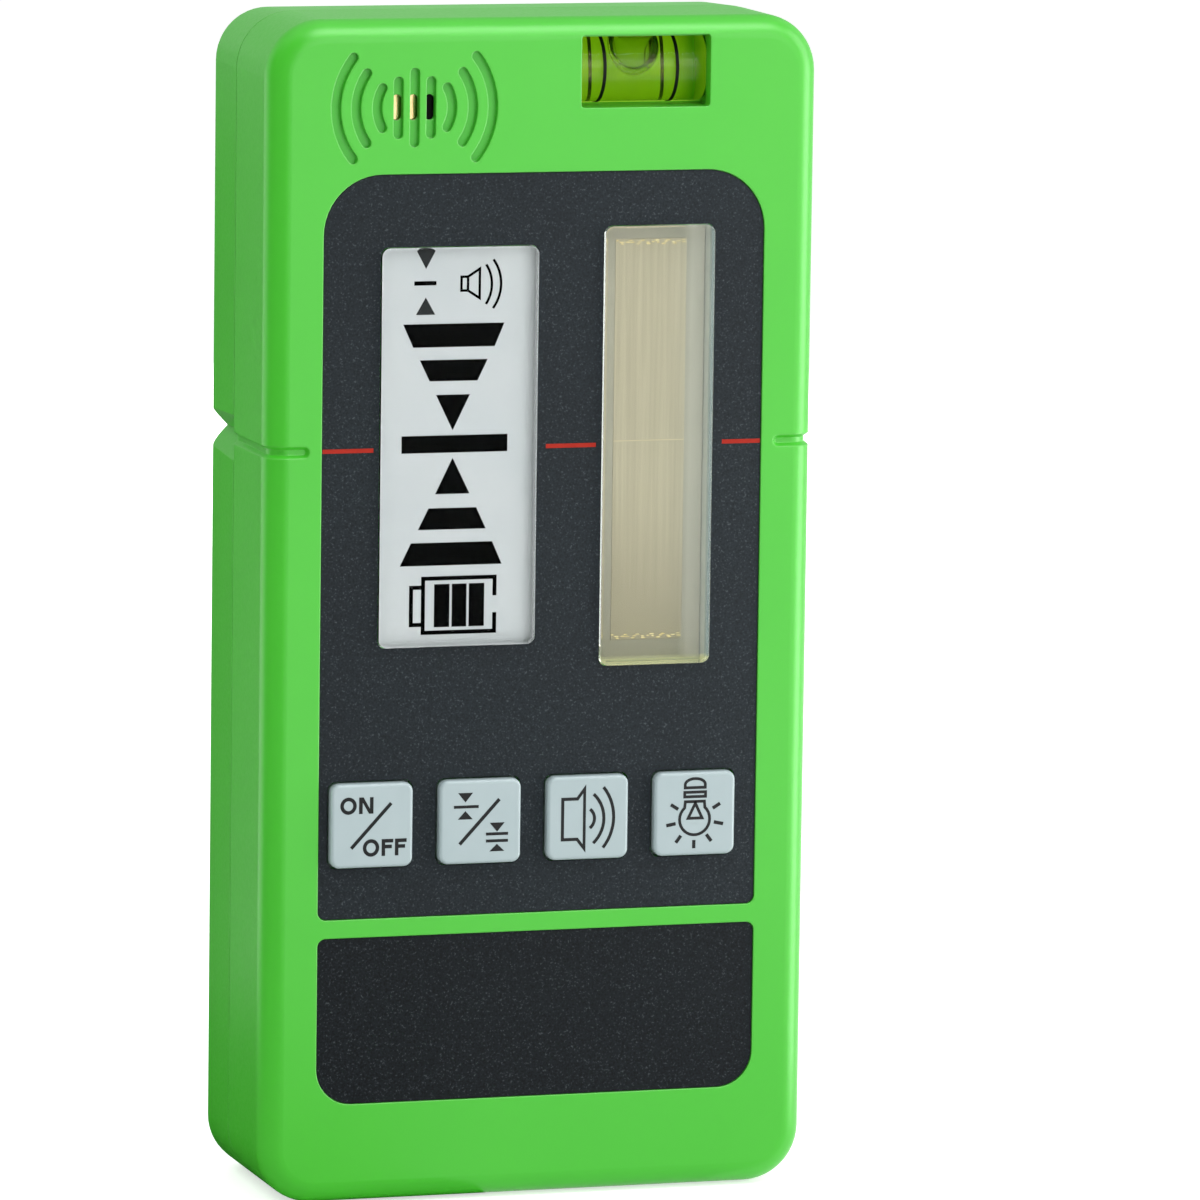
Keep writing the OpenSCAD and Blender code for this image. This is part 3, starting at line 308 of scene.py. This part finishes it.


# Cast or liquid clear stuff: bends what is behind it, faint uneven polish, bands in another tone with painted
# light in them
def clearFinish(look):
    material, tree, shader, place = newMaterial(look["name"])
    smear = addNode(tree, "ShaderNodeTexNoise", None,
                    {"Scale": perMm(look["smearSize"]), "Detail": 3}, {"Vector": place}).outputs["Fac"]
    smearLow, smearHigh = noiseSpan["smear"]
    rough = addNode(tree, "ShaderNodeMapRange", None,
                    {"From Min": smearLow, "From Max": smearHigh,
                     "To Min": look["rough"][0], "To Max": look["rough"][1]}, {"Value": smear})
    tint = addNode(tree, "ShaderNodeMix", {"data_type": "RGBA"},
                   {mixFirst: linear(look["colour"]), mixSecond: linear(look["tone"])},
                   {mixShare: smear}).outputs[mixOut]
    axes = addNode(tree, "ShaderNodeSeparateXYZ", None, None, {0: place})
    paintedEdgeLight = None
    for axis, start, end, colour, paintedEdgeLightColour in look.get("bands", []):  # each band adds its tint and its painted light
        share = addNode(tree, "ShaderNodeMapRange", {"interpolation_type": "SMOOTHSTEP"},
                        {"From Min": start * mm, "From Max": end * mm}, {"Value": axes.outputs[axis]})
        tint = addNode(tree, "ShaderNodeMix", {"data_type": "RGBA"}, {mixSecond: linear(colour)},
                       {mixShare: share.outputs[0], mixFirst: tint}).outputs[mixOut]
        paintedEdgeLightMix = addNode(tree, "ShaderNodeMix", {"data_type": "RGBA"},
                            {mixFirst: black, mixSecond: linear(paintedEdgeLightColour)},
                            {mixShare: share.outputs[0]})
        if paintedEdgeLight:
            tree.links.new(paintedEdgeLight, paintedEdgeLightMix.inputs[mixFirst])
        paintedEdgeLight = paintedEdgeLightMix.outputs[mixOut]
    # painted light: the bands' colours given out as light
    if paintedEdgeLight:
        tree.links.new(paintedEdgeLight, shader.inputs["Emission Color"])
        shader.inputs["Emission Strength"].default_value = 1.0
    tree.links.new(tint, shader.inputs["Base Color"])
    tree.links.new(rough.outputs[0], shader.inputs["Roughness"])
    shader.inputs["Transmission Weight"].default_value = look["clear"]
    shader.inputs["IOR"].default_value = look["ior"]
    shader.inputs["Specular Tint"].default_value = [look.get("glint", 1.0)] * 3 + [1.0]
    return material


paneAcrylic = clearFinish({  # polished cast acrylic, coated against glare: clear, hardly a reflection
    "name": "acrylic pane polished coated", "colour": "#FAFBFB", "tone": "#F6F8F8", "smearSize": 7,
    "rough": (0.0, 0.03), "clear": 1.0, "ior": 1.49, "glint": 0.02})
hiddenRim = 1.5  # rim of the pane behind the wall
paneLow, paneHigh = (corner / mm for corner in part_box("sensor_window"))
paneRight, paneFoot = paneHigh.x - hiddenRim, paneLow.z + hiddenRim
filterAcrylic = clearFinish({  # clear cast acrylic in front of the sensor, with painted light over its right part and along its foot
    "name": "acrylic pane warm tint", "colour": "#F7F5EC", "tone": "#F2F1E8", "smearSize": 9,
    "rough": (0.0, 0.03), "clear": 1.0, "ior": 1.49, "glint": 0.2,
    "bands": [("X", paneRight - 4.2, paneRight - 3.4, "#F4F3EE", "#494A44"),
              ("X", paneRight - 1.0, paneRight - 0.7, "#C2CCCE", "#3C4647"),
              ("Z", paneFoot + 1.15, paneFoot + 0.75, "#F6F6C4", "#5A5F50")]})
vialAcrylic = clearFinish({  # drawn acrylic tube: clear, magnifies what lies in it
    "name": "acrylic tube drawn", "colour": "#F4F9E6", "tone": "#EEF5DE", "smearSize": 4,
    "rough": (0.0, 0.02), "clear": 1.0, "ior": 1.49, "glint": 0.2})
vialSpirit = clearFinish({  # dyed spirit: yellow green, brightest where light comes through
    "name": "spirit yellow green dyed", "colour": "#E2F268", "tone": "#DDEF5E", "smearSize": 6,
    "rough": (0.0, 0.0), "clear": 0.96, "ior": 1.36, "glint": 0.4})

dress = {
    "front_shell": greenAbs, "rear_shell": greenAbs, "battery_door": greenAbs, "vial_cradle": greenAbs,
    "panel_overlay": slateFilm, "lower_label": labelFilm,
    "power_key": keyAbs, "precision_key": keyAbs, "sound_key": keyAbs, "light_key": keyAbs,
    "display_window": paneAcrylic, "sensor_window": filterAcrylic,
    "lcd_glass": lcdFilm, "lcd_backlight": backlightAcrylic, "lcd_frame": frameAbs,
    "zebra_strips": contactRubber,
    "sensor_housing": housingStyrene, "sensor_filter": sensorSheet, "sensor_cells": cellGlass,
    "sensor_board": boardResist, "main_board": boardResist, "controller_chip": chipEpoxy,
    "amplifier_chips": chipEpoxy, "filter_capacitors": canSleeve,
    "case_screws": zincSteel, "board_screws": zincSteel, "battery_terminals": zincSteel,
    "buzzer_pins": zincSteel,
    "clamp_insert": turnedBrass, "buzzer_disc": rolledBrass, "key_switches": switchNylon,
    "power_plunger": plungerNylon, "precision_plunger": plungerNylon,
    "sound_plunger": plungerNylon, "light_plunger": plungerNylon,
    "buzzer_case": buzzerAbs, "vial_tube": vialAcrylic, "vial_fluid": vialSpirit,
    "vial_rings": ringInk, "vial_plugs": greenAbs, "door_pad": padFoam,
    "battery": batteryJacket, "battery_snap": blackPvc, "positive_lead": redPvc, "negative_lead": blackPvc,
}
for name, material in dress.items():
    nodes[name].data.materials.clear()
    nodes[name].data.materials.append(material)
print("materials:", len(bpy.data.materials))


def arc(x, top, low, bulge, steps=14):
    half, sag = (top - low) / 2, bulge - x
    radius = (half * half + sag * sag) / (2 * sag)
    reach = math.asin(half / radius)
    turns = [reach - 2 * reach * i / steps for i in range(steps + 1)]
    return [(bulge - radius + radius * math.cos(t), (top + low) / 2 + radius * math.sin(t)) for t in turns]


def ellipse(x, z, rx, rz, steps=32):
    turns = [2 * math.pi * i / steps for i in range(steps)]
    return [(x + rx * math.cos(t), z + rz * math.sin(t)) for t in turns]


sharpest = 0.35  # keeps the corner of a stroke from running out to a spike


def sides(points, width, closed):
    left, right = [], []
    count = len(points)
    for i, point in enumerate(points):
        here = Vector(point)
        legs = []
        if closed or i:
            legs.append((here - Vector(points[i - 1])).normalized())
        if closed or i < count - 1:
            legs.append((Vector(points[(i + 1) % count]) - here).normalized())
        normals = [Vector((-leg.y, leg.x)) for leg in legs]
        miter = sum(normals, Vector((0, 0))).normalized()
        reach = width / 2 / max(sharpest, miter.dot(normals[0]))
        left.append(here + miter * reach)
        right.append(here - miter * reach)
    return left, right


def stroke(points, width):
    left, right = sides(points, width, False)
    return left + right[::-1]


def ring(points, width):
    return sides(points, width, True)  # a pair of loops


def box(x0, x1, z0, z1):
    return [(x0, z0), (x1, z0), (x1, z1), (x0, z1)]


# Thin printed piece: each outline is a loop, or a pair of loops for a ring, in millimetres across the face
def printed(name, outlines, centre, face, lift, body, material):
    mesh = bmesh.new()

    def loopAt(loop, y):
        return [mesh.verts.new(((centre[0] + p[0]) * mm, y * mm, (centre[1] + p[1]) * mm)) for p in loop]

    for outline in outlines:
        loops = outline if isinstance(outline, tuple) else (outline,)
        fronts = [loopAt(loop, face - lift) for loop in loops]
        backs = [loopAt(loop, face) for loop in loops]
        count = len(fronts[0])
        for rim in (fronts, backs):
            if len(loops) == 1:
                mesh.faces.new(rim[0])
                continue
            for i in range(count):
                j = (i + 1) % count
                mesh.faces.new((rim[0][i], rim[0][j], rim[1][j], rim[1][i]))
        for front, back in zip(fronts, backs):
            for i in range(count):
                j = (i + 1) % count
                mesh.faces.new((front[i], front[j], back[j], back[i]))
    bmesh.ops.recalc_face_normals(mesh, faces=mesh.faces)
    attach(newObject(name, mesh, material), body)


def middle(node):
    low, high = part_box(node)
    return (low + high) / 2 / mm


# Red zero marks on the overlay
zeroMarks = {"spans": [(-32.2, -24.8), (0.46, 7.83), (26.53, 32.2)], "height": 0.6, "z": 107.4, "lift": 0.03}
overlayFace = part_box("panel_overlay")[0].y / mm
half = zeroMarks["height"] / 2
printed("zero_marks", [box(a, b, -half, half) for a, b in zeroMarks["spans"]], (0, zeroMarks["z"]),
        overlayFace, zeroMarks["lift"], "case", redInk)

# Display segments, drawn from the middle of the display and the zero line
display = {"z": 107.22, "lift": 0.03, "fine": 0.36, "frame": 0.58}
displayMid = (middle("display_window").x, display["z"])
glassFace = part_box("lcd_glass")[0].y / mm
fine, heavy = display["fine"], display["frame"]
segments = [
    [(-7.7, 17.62), (7.1, 17.62), (5.7, 14.32), (-6.2, 14.32)],
    [(-5.22, 12.52), (4.7, 12.52), (3.25, 9.52), (-3.75, 9.52)],
    [(-2.8, 7.58), (2.15, 7.58), (-0.33, 2.52)],
    box(-7.77, 7.73, -0.62, 1.83),
    [(-0.28, -1.38), (2.25, -6.48), (-2.78, -6.48)],
    [(-3.73, -8.48), (3.25, -8.48), (4.7, -11.52), (-5.25, -11.52)],
    [(-6.25, -13.38), (5.65, -13.38), (7.1, -16.62), (-7.85, -16.62)],
    box(-2.77, -0.52, -25.4, -19.28), box(-0.17, 1.98, -25.4, -19.28), box(2.33, 4.58, -25.4, -19.28),
    stroke([(6.1, -21.1), (6.1, -18.45), (-4.4, -18.45), (-4.4, -19.7), (-6.15, -19.7), (-6.15, -25.0),
            (-4.4, -25.0), (-4.4, -26.15), (6.1, -26.15), (6.1, -23.5)], heavy),
    stroke([(-4.4, -19.98), (-4.4, -24.72)], heavy),
    ring([(0.75, 24.2), (1.7, 24.2), (3.42, 25.3), (3.42, 21.15), (1.7, 22.25), (0.75, 22.25)], fine),
    stroke([(1.7, 24.07), (1.7, 22.38)], fine),
    stroke(arc(4.35, 25.87, 20.28, 5.2), fine),
    stroke(arc(5.4, 26.57, 19.68, 6.55), fine),
    box(-6.15, -2.92, 23.08, 23.68),
]
faintSegments = [
    [(-5.85, 28.0), (-3.05, 28.0), (-4.45, 25.4)],
    [(-4.45, 21.38), (-3.05, 18.93), (-5.87, 18.93)],
]
printed("lcd_segments", segments, displayMid, glassFace, display["lift"], "case", segmentCrystal)
printed("lcd_small_marks", faintSegments, displayMid, glassFace, display["lift"], "case", faintCrystal)
print("display:", len(segments) + len(faintSegments), "segments")

# Photocell panels behind the sensor window: two cast strips, the glue line between them, and rows of
# bond wires at the far ends, which lie unevenly but the same each run
panels = {"x": (11.9, 22.45), "low": 78.7, "joint": 107.23, "high": 136.0, "line": 0.14, "lift": 0.06}
bond = {"count": 22, "lift": 0.1, "inset": 0.5, "width": (0.2, 0.16), "height": (0.05, 0.03),
        "drift": 0.2, "sway": 0.25, "uneven": (2.3, 1.7, 2.9, 4.7), "steps": 12}
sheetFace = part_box("sensor_filter")[0].y / mm
left, right = panels["x"]
half = panels["line"] / 2
printed("sensor_panels", [box(left, right, panels["low"], panels["joint"] - half),
                          box(left, right, panels["joint"] + half, panels["high"])],
        (0, 0), sheetFace, panels["lift"], "case", panelResin)
printed("sensor_joint", [box(left, right, panels["joint"] - half, panels["joint"] + half)],
        (0, 0), sheetFace, panels["lift"], "case", jointGlue)
bonds = []
for i in range(bond["count"]):
    driftTurn, widthTurn, heightTurn, swayTurn = (step * i for step in bond["uneven"])
    x = left + (right - left) * (i + 0.5) / bond["count"] + bond["drift"] * math.sin(driftTurn)
    width = bond["width"][0] + bond["width"][1] * abs(math.sin(widthTurn))
    height = bond["height"][0] + bond["height"][1] * abs(math.cos(heightTurn))
    for row in (panels["low"] + bond["inset"], panels["high"] - bond["inset"]):
        z = row + bond["sway"] * math.cos(swayTurn)
        bonds.append(ellipse(x, z, width, height, bond["steps"]))
printed("sensor_bonds", bonds, (0, 0), sheetFace - panels["lift"], bond["lift"], "case", bondGold)
print("sensor:", len(bonds), "bond wires")

# Letters drawn as strokes, in shares of the stroke or the letter
letterShape = {"slope": 1.25, "notch": 1.1, "bar": 0.44, "barEnd": 0.88}


def letterO(x, low, width, height, line):
    return ring(ellipse(x + width / 2, low + height / 2, (width - line) / 2, (height - line) / 2), line)


def letterN(x, low, width, height, line):
    slope = line * letterShape["slope"]
    notch = slope * letterShape["notch"]
    return [(x, low), (x, low + height), (x + slope, low + height), (x + width - line, low + notch),
            (x + width - line, low + height), (x + width, low + height), (x + width, low),
            (x + width - slope, low), (x + line, low + height - notch), (x + line, low)]


def letterF(x, low, width, height, line):
    bar = low + height * letterShape["bar"]
    barEnd = x + width * letterShape["barEnd"]
    return [(x, low), (x, low + height), (x + width, low + height), (x + width, low + height - line),
            (x + line, low + height - line), (x + line, bar + line), (barEnd, bar + line),
            (barEnd, bar), (x + line, bar), (x + line, low)]


# Key prints, drawn from the middle of each key
keyPrint = {"lift": 0.02, "slash": 0.5, "line": 0.42, "letter": 0.52, "sound": 0.46, "ray": 0.5}
line, letter, sound = keyPrint["line"], keyPrint["letter"], keyPrint["sound"]
half = line / 2
slash = stroke([(-3.05, -3.15), (2.75, 3.15)], keyPrint["slash"])
bulb = {"capR": 1.5, "capFoot": 3.75, "capSpring": 4.2, "capRise": 0.85, "capSteps": 12,
        "glassMid": (-0.03, -0.8), "glassR": 2.25, "neck": 42, "glassStep": 12}  # neck and step in degrees
capTurns = [math.pi * i / bulb["capSteps"] for i in range(bulb["capSteps"] + 1)]
bulbCap = [(-bulb["capR"] * math.cos(t), bulb["capSpring"] + bulb["capRise"] * math.sin(t)) for t in capTurns]
(glassX, glassZ), glassR = bulb["glassMid"], bulb["glassR"]
glassTurns = [math.radians(a) for a in range(bulb["neck"], 361 - bulb["neck"], bulb["glassStep"])]
bulbGlass = [(glassX + glassR * math.sin(t), glassZ + glassR * math.cos(t)) for t in glassTurns]
bulbRays = [[(2.65, 0.7), (3.75, 1.35)], [(2.85, -1.3), (4.25, -1.6)], [(1.75, -3.05), (2.5, -4.05)],
            [(-0.1, -3.8), (-0.1, -5.0)], [(-2.05, -3.1), (-2.8, -4.1)], [(-2.85, -1.35), (-4.25, -1.6)],
            [(-2.5, 0.7), (-3.6, 1.4)]]
icons = {
    "power": [
        letterO(-4.7, 1.7, 2.4, 2.45, letter), letterN(-1.95, 1.75, 2.1, 2.35, letter), slash,
        letterO(-1.35, -4.4, 2.4, 2.5, letter), letterF(1.4, -4.35, 1.7, 2.4, letter),
        letterF(3.35, -4.35, 1.7, 2.4, letter)],
    "precision": [
        [(-3.35, 4.2), (-1.15, 4.2), (-2.25, 2.85)], box(-3.95, -0.3, 2.2 - half, 2.2 + half),
        [(-2.25, 1.6), (-1.15, 0.4), (-3.35, 0.4)], slash,
        [(1.35, -0.2), (3.55, -0.2), (2.45, -1.5)], box(0.82, 4.08, -1.8 - half, -1.8 + half),
        box(0.82, 4.08, -2.8 - half, -2.8 + half), [(2.45, -3.25), (3.55, -4.3), (1.35, -4.3)]],
    "sound": [
        ring([(-3.78, 2.75), (-1.6, 2.75), (-0.55, 4.15),
              (-0.55, -4.4), (-1.6, -3.05), (-3.78, -3.05)], sound),
        stroke(arc(0.28, 1.2, -1.5, 0.95), sound), stroke(arc(0.8, 3.35, -3.7, 2.35), sound),
        stroke(arc(2.25, 4.3, -4.4, 3.8), sound)],
    "light": [
        ring([(-bulb["capR"], bulb["capFoot"])] + bulbCap + [(bulb["capR"], bulb["capFoot"])], line),
        ring(box(-1.55, 1.55, 2.45, 3.1), line),
        ring([(-1.45, 1.75), (1.4, 1.75)] + bulbGlass, line),
        ring([(0.05, 1.5), (1.08, -0.65), (-1.0, -0.65)], line),
        *[stroke(ray, keyPrint["ray"]) for ray in bulbRays]],
}
for key, outlines in icons.items():
    spot = middle(key + "_key")
    printed(key + "_print", outlines, (spot.x, spot.z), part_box(key + "_key")[0].y / mm, keyPrint["lift"],
            key + "_key_body", keyInk)
print("keys:", len(icons), "prints")

# Spirit in the vial: wets the bore of the tube, with the bubble as a hollow under its top
spirit = {"wet": 0.02, "steps": 96, "bubble": (3.75, 3.1, 3.2), "bubbleRise": 2.2,
          "bubbleSteps": (64, 32), "skin": 0.15}
low, high = (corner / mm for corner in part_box("vial_fluid"))
vialMid = (low + high) / 2
spiritR = (high.z - low.z) / 2
mesh = bmesh.new()
lying = Matrix.Translation(vialMid) @ Matrix.Rotation(math.pi / 2, 4, "Y")
bmesh.ops.create_cone(mesh, cap_ends=True, segments=spirit["steps"], radius1=spiritR + spirit["wet"],
                      radius2=spiritR + spirit["wet"], depth=high.x - low.x, matrix=lying)
for edge in mesh.edges:
    edge.smooth = all(len(face.verts) == 4 for face in edge.link_faces)
bubbleMid = vialMid + Vector((0, 0, spirit["bubbleRise"]))
blown = Matrix.Translation(bubbleMid) @ Matrix.Diagonal(spirit["bubble"]).to_4x4()
around, along = spirit["bubbleSteps"]
bubble = bmesh.ops.create_uvsphere(mesh, u_segments=around, v_segments=along, radius=1, matrix=blown)
for vert in bubble["verts"]:  # the top of the bubble follows the bore
    fromAxis = (vert.co - vialMid) * Vector((0, 1, 1))
    tooFar = fromAxis.length - (spiritR - spirit["skin"])
    if tooFar > 0:
        vert.co -= fromAxis.normalized() * tooFar
bubbleFaces = {face for vert in bubble["verts"] for face in vert.link_faces}
bmesh.ops.reverse_faces(mesh, faces=list(bubbleFaces))
for face in mesh.faces:
    face.smooth = len(face.verts) <= 4
bmesh.ops.scale(mesh, vec=(mm, mm, mm), verts=mesh.verts)
piece = newObject("vial_spirit", mesh, vialSpirit)
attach(piece, "case")
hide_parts("vial_fluid")

# Paint on the back half of the tube, outside the index rings
coat = {"gap": 0.075, "thick": 0.015, "reach": 100, "steps": 60}
low, high = (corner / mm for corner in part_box("vial_tube"))
tubeR = (high.z - low.z) / 2
mesh = bmesh.new()
rows = []
for i in range(coat["steps"] + 1):
    turn = math.radians(-coat["reach"] + 2 * coat["reach"] * i / coat["steps"])
    for r in (tubeR + coat["gap"], tubeR + coat["gap"] + coat["thick"]):
        y, z = vialMid.y + r * math.cos(turn), vialMid.z + r * math.sin(turn)
        rows.append([mesh.verts.new((x * mm, y * mm, z * mm)) for x in (low.x, high.x)])
for i in range(coat["steps"]):
    inner, outer, nextInner, nextOuter = rows[2 * i:2 * i + 4]
    mesh.faces.new((inner[0], inner[1], nextInner[1], nextInner[0])).smooth = True
    mesh.faces.new((outer[0], nextOuter[0], nextOuter[1], outer[1])).smooth = True
    for end in (0, 1):
        mesh.faces.new((inner[end], nextInner[end], nextOuter[end], outer[end]))
for a, b in ((rows[0], rows[1]), (rows[-2], rows[-1])):
    mesh.faces.new((a[0], a[1], b[1], b[0]))
bmesh.ops.recalc_face_normals(mesh, faces=mesh.faces)
for edge in mesh.edges:
    edge.smooth = all(face.smooth for face in edge.link_faces)
piece = newObject("vial_back_paint", mesh, backPaint)
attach(piece, "case")
print("vial: spirit, bubble and back paint")

# Threaded insert: brass bush with a quarter-inch thread of 20 turns to the inch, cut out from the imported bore
bush = {"pitch": 1.27, "threadDepth": 0.62, "lead": 0.1, "around": 96, "perTurn": 8,
        "collar": 1.0, "knurl": 0.2, "knurlStep": 4, "crease": 35}
low, high = (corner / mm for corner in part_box("clamp_insert"))
bushMid, bushR = (low + high) / 2, (high.x - low.x) / 2
boreR = next(mount["dims"]["r_mm"] for mount in frame["record"]["mounts"] if mount["name"] == "clamp_thread")
mesh = bmesh.new()


def bushLoop(y, radius):
    loop = []
    for i in range(bush["around"]):
        turn = 2 * math.pi * i / bush["around"]
        r = radius(i, y)
        loop.append(mesh.verts.new((bushMid.x + r * math.cos(turn), y, bushMid.z + r * math.sin(turn))))
    return loop


def threadR(i, y):
    wave = (y / bush["pitch"] + i / bush["around"]) % 1
    cut = bush["threadDepth"] * (1 - abs(2 * wave - 1))
    return boreR + max(cut, bush["threadDepth"] + bush["lead"] - (high.y - y))  # chamfer at the mouth


def plainR(i, y):
    return bushR


def knurledR(i, y):
    return bushR - bush["knurl"] * (i % bush["knurlStep"] >= bush["knurlStep"] / 2)


rings = round((high.y - low.y) / bush["pitch"] * bush["perTurn"])
collarEnd = high.y - bush["collar"]
loops = [bushLoop(low.y + (high.y - low.y) * k / rings, threadR) for k in range(rings + 1)]
loops += [bushLoop(high.y, plainR), bushLoop(collarEnd, plainR),
          bushLoop(collarEnd - bush["knurl"], knurledR), bushLoop(low.y, knurledR)]
for k, loop in enumerate(loops):
    nextLoop = loops[(k + 1) % len(loops)]
    for i in range(bush["around"]):
        j = (i + 1) % bush["around"]
        mesh.faces.new((loop[i], loop[j], nextLoop[j], nextLoop[i])).smooth = True
bmesh.ops.recalc_face_normals(mesh, faces=mesh.faces)
for edge in mesh.edges:
    edge.smooth = edge.calc_face_angle(0) < math.radians(bush["crease"])
bmesh.ops.scale(mesh, vec=(mm, mm, mm), verts=mesh.verts)
piece = newObject("clamp_bush", mesh, turnedBrass)
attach(piece, "case")
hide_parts("clamp_insert")
print("insert: thread of", round((high.y - low.y) / bush["pitch"], 1), "turns")

# Stage: floor, cards and soft boxes, in metres and watts
stage = {"floor": 8.0, "drop": 0.0003, "floorColour": "#F4F4F3", "floorRough": 0.9, "glow": 0.6,
         "ambient": 0.45, "cardColour": "#0A0A0A", "cardSteps": 24}


def mattPaper(name, colour):  # no gleam at all, so that only its own light or shade shows
    paper = bpy.data.materials.new(name)
    paper.use_nodes = True
    shader = paper.node_tree.nodes["Principled BSDF"]
    shader.inputs["Base Color"].default_value = linear(colour)
    shader.inputs["Specular IOR Level"].default_value = 0.0
    shader.inputs["Emission Color"].default_value = white
    return paper, shader


def seenShare(tree):  # 1 where the camera, a reflection or clear stuff looks, 0 for light on the object
    path = addNode(tree, "ShaderNodeLightPath")
    seen = addNode(tree, "ShaderNodeMath", {"operation": "MAXIMUM"}, None,
                   {0: path.outputs["Is Camera Ray"], 1: path.outputs["Is Glossy Ray"]})
    return addNode(tree, "ShaderNodeMath", {"operation": "MAXIMUM"}, None,
                   {0: seen.outputs[0], 1: path.outputs["Is Transmission Ray"]}).outputs[0]


floorPaper, shader = mattPaper("paper sweep matt white", stage["floorColour"])  # pale paper, keeps the shadow
shader.inputs["Roughness"].default_value = stage["floorRough"]
tree = floorPaper.node_tree
glow = addNode(tree, "ShaderNodeMath", {"operation": "MULTIPLY"}, {1: stage["glow"]}, {0: seenShare(tree)})
tree.links.new(glow.outputs[0], shader.inputs["Emission Strength"])
mesh = bmesh.new()
bmesh.ops.create_grid(mesh, x_segments=2, y_segments=2, size=stage["floor"])
floor = newObject("floor", mesh, floorPaper)
floor.location.z = -stage["drop"]

world = bpy.data.worlds.new("studio")
scene.world = world
world.use_nodes = True
tree = world.node_tree
level = addNode(tree, "ShaderNodeMapRange", None, {"To Min": stage["ambient"], "To Max": 1.0},
                {"Value": seenShare(tree)})
tree.links.new(level.outputs[0], tree.nodes["Background"].inputs["Strength"])
tree.nodes["Background"].inputs["Color"].default_value = white

# Cards seen only in reflections, by their angle left of the front and their folded profile of radius and
# height in metres: black to pale grey ones set how deep the left side, the foot and the top look, the two
# bright strips draw the highlights
underCase = -stage["drop"] / 2  # between the floor and the case
onFloor, wallR, wallTop = 0.001, 0.3, 0.172
cards = [
    {"name": "front left card", "from": 6, "to": 105, "lit": 0,
     "fold": [(0.045, onFloor), (wallR, onFloor), (wallR, 0.55)]},
    {"name": "back left card", "from": 148, "to": 175, "lit": 0,
     "fold": [(0.16, onFloor), (wallR, onFloor), (wallR, 0.13)]},
    {"name": "middle card", "from": 148, "to": 175, "lit": 0.25, "fold": [(wallR, 0.13), (wallR, wallTop)]},
    {"name": "floor card", "from": 25, "to": 174, "lit": 0, "fold": [(0.005, underCase), (0.18, underCase)]},
    {"name": "foot card", "from": -60, "to": 25, "lit": 0.8, "fold": [(0.005, underCase), (0.2, underCase)]},
    {"name": "notch card", "from": 176, "to": 192, "lit": 0.15, "fold": [(0.22, onFloor), (0.5, onFloor)]},
    {"name": "high card", "from": 120, "to": 228, "lit": 0.5, "fold": [(wallR, wallTop), (wallR, 0.6)]},
    {"name": "right strip", "from": -80, "to": -54, "lit": 6.5,
     "fold": [(0.1, 0.002), (0.2, 0.002), (0.2, 0.165)]},
    {"name": "top strip", "from": -50, "to": 0, "lit": 6.5, "fold": [(0.45, 0.52), (0.27, 0.78)]},
]
for card in cards:
    cardPaper, shader = mattPaper(card["name"] + " matt", stage["cardColour"])
    shader.inputs["Emission Strength"].default_value = card["lit"]
    mesh = bmesh.new()
    posts = []
    for i in range(stage["cardSteps"] + 1):
        turn = math.radians(card["from"] + (card["to"] - card["from"]) * i / stage["cardSteps"])
        posts.append([mesh.verts.new((-r * math.sin(turn), -r * math.cos(turn), z)) for r, z in card["fold"]])
    for a, b in zip(posts, posts[1:]):
        for k in range(len(card["fold"]) - 1):
            mesh.faces.new((a[k], b[k], b[k + 1], a[k + 1]))
    sheet = newObject(card["name"], mesh, cardPaper)
    sheet.visible_camera = sheet.visible_diffuse = sheet.visible_shadow = False
    sheet.visible_transmission = sheet.visible_volume_scatter = False

# Soft boxes: those that aren't mirrored only lift the level
softBoxes = [
    {"name": "right box", "at": (0.75, -0.25, 0.35), "size": (0.5, 0.7), "watts": 3.2},
    {"name": "front box", "at": (0.45, -1.3, 0.45), "size": (0.7, 0.7), "watts": 2.4},
    {"name": "front fill", "at": (0.3, -1.3, 0.5), "size": (0.6, 0.6), "watts": 1.9, "mirrored": False},
    {"name": "top box", "at": (0.2, -0.55, 1.0), "size": (0.5, 0.5), "watts": 2.5},
    {"name": "back box", "at": (-0.55, 0.75, 0.3), "size": (0.12, 0.5), "watts": 0.25},
    {"name": "left fill", "at": (-0.55, -0.1, 0.75), "size": (0.4, 0.4), "watts": 2.2, "mirrored": False},
    {"name": "rear fill", "at": (0.3, 0.9, 0.25), "size": (0.5, 0.4), "watts": 3.4, "mirrored": False},
]
lampAim = Vector((0, 0, 0.085))
for lamp in softBoxes:
    light = bpy.data.lights.new(lamp["name"], "AREA")
    light.shape = "RECTANGLE"
    light.size, light.size_y = lamp["size"]
    light.energy = lamp["watts"]
    holder = bpy.data.objects.new(lamp["name"], light)
    holder.location = lamp["at"]
    holder.rotation_euler = (lampAim - holder.location).to_track_quat("-Z", "Y").to_euler()
    holder.visible_glossy = lamp.get("mirrored", True)
    holder.visible_camera = False
    scene.collection.objects.link(holder)
print("stage: floor,", len(cards), "cards and", len(softBoxes), "soft boxes")

# Camera at the photograph's place: degrees left of the front, of rise and of tilt, metres to its aim
view = {"lens": 285.0, "sensor": 36.0, "aim": (0.01386, 0.0, 0.0828), "distance": 1.36109,
        "azimuth": 17.366, "elevation": 8.155, "tilt": 0.7676, "near": 0.05, "far": 60.0}
lens = bpy.data.cameras.new("camera")
lens.lens, lens.sensor_width = view["lens"], view["sensor"]
lens.clip_start, lens.clip_end = view["near"], view["far"]
camera = bpy.data.objects.new("camera", lens)
camera.matrix_world = (Matrix.Translation(view["aim"])
                       @ Matrix.Rotation(-math.radians(view["azimuth"]), 4, "Z")
                       @ Matrix.Rotation(math.radians(90 - view["elevation"]), 4, "X")
                       @ Matrix.Rotation(math.radians(view["tilt"]), 4, "Z")
                       @ Matrix.Translation((0, 0, view["distance"])))
scene.collection.objects.link(camera)
scene.camera = camera
scene.view_settings.view_transform = "Standard"
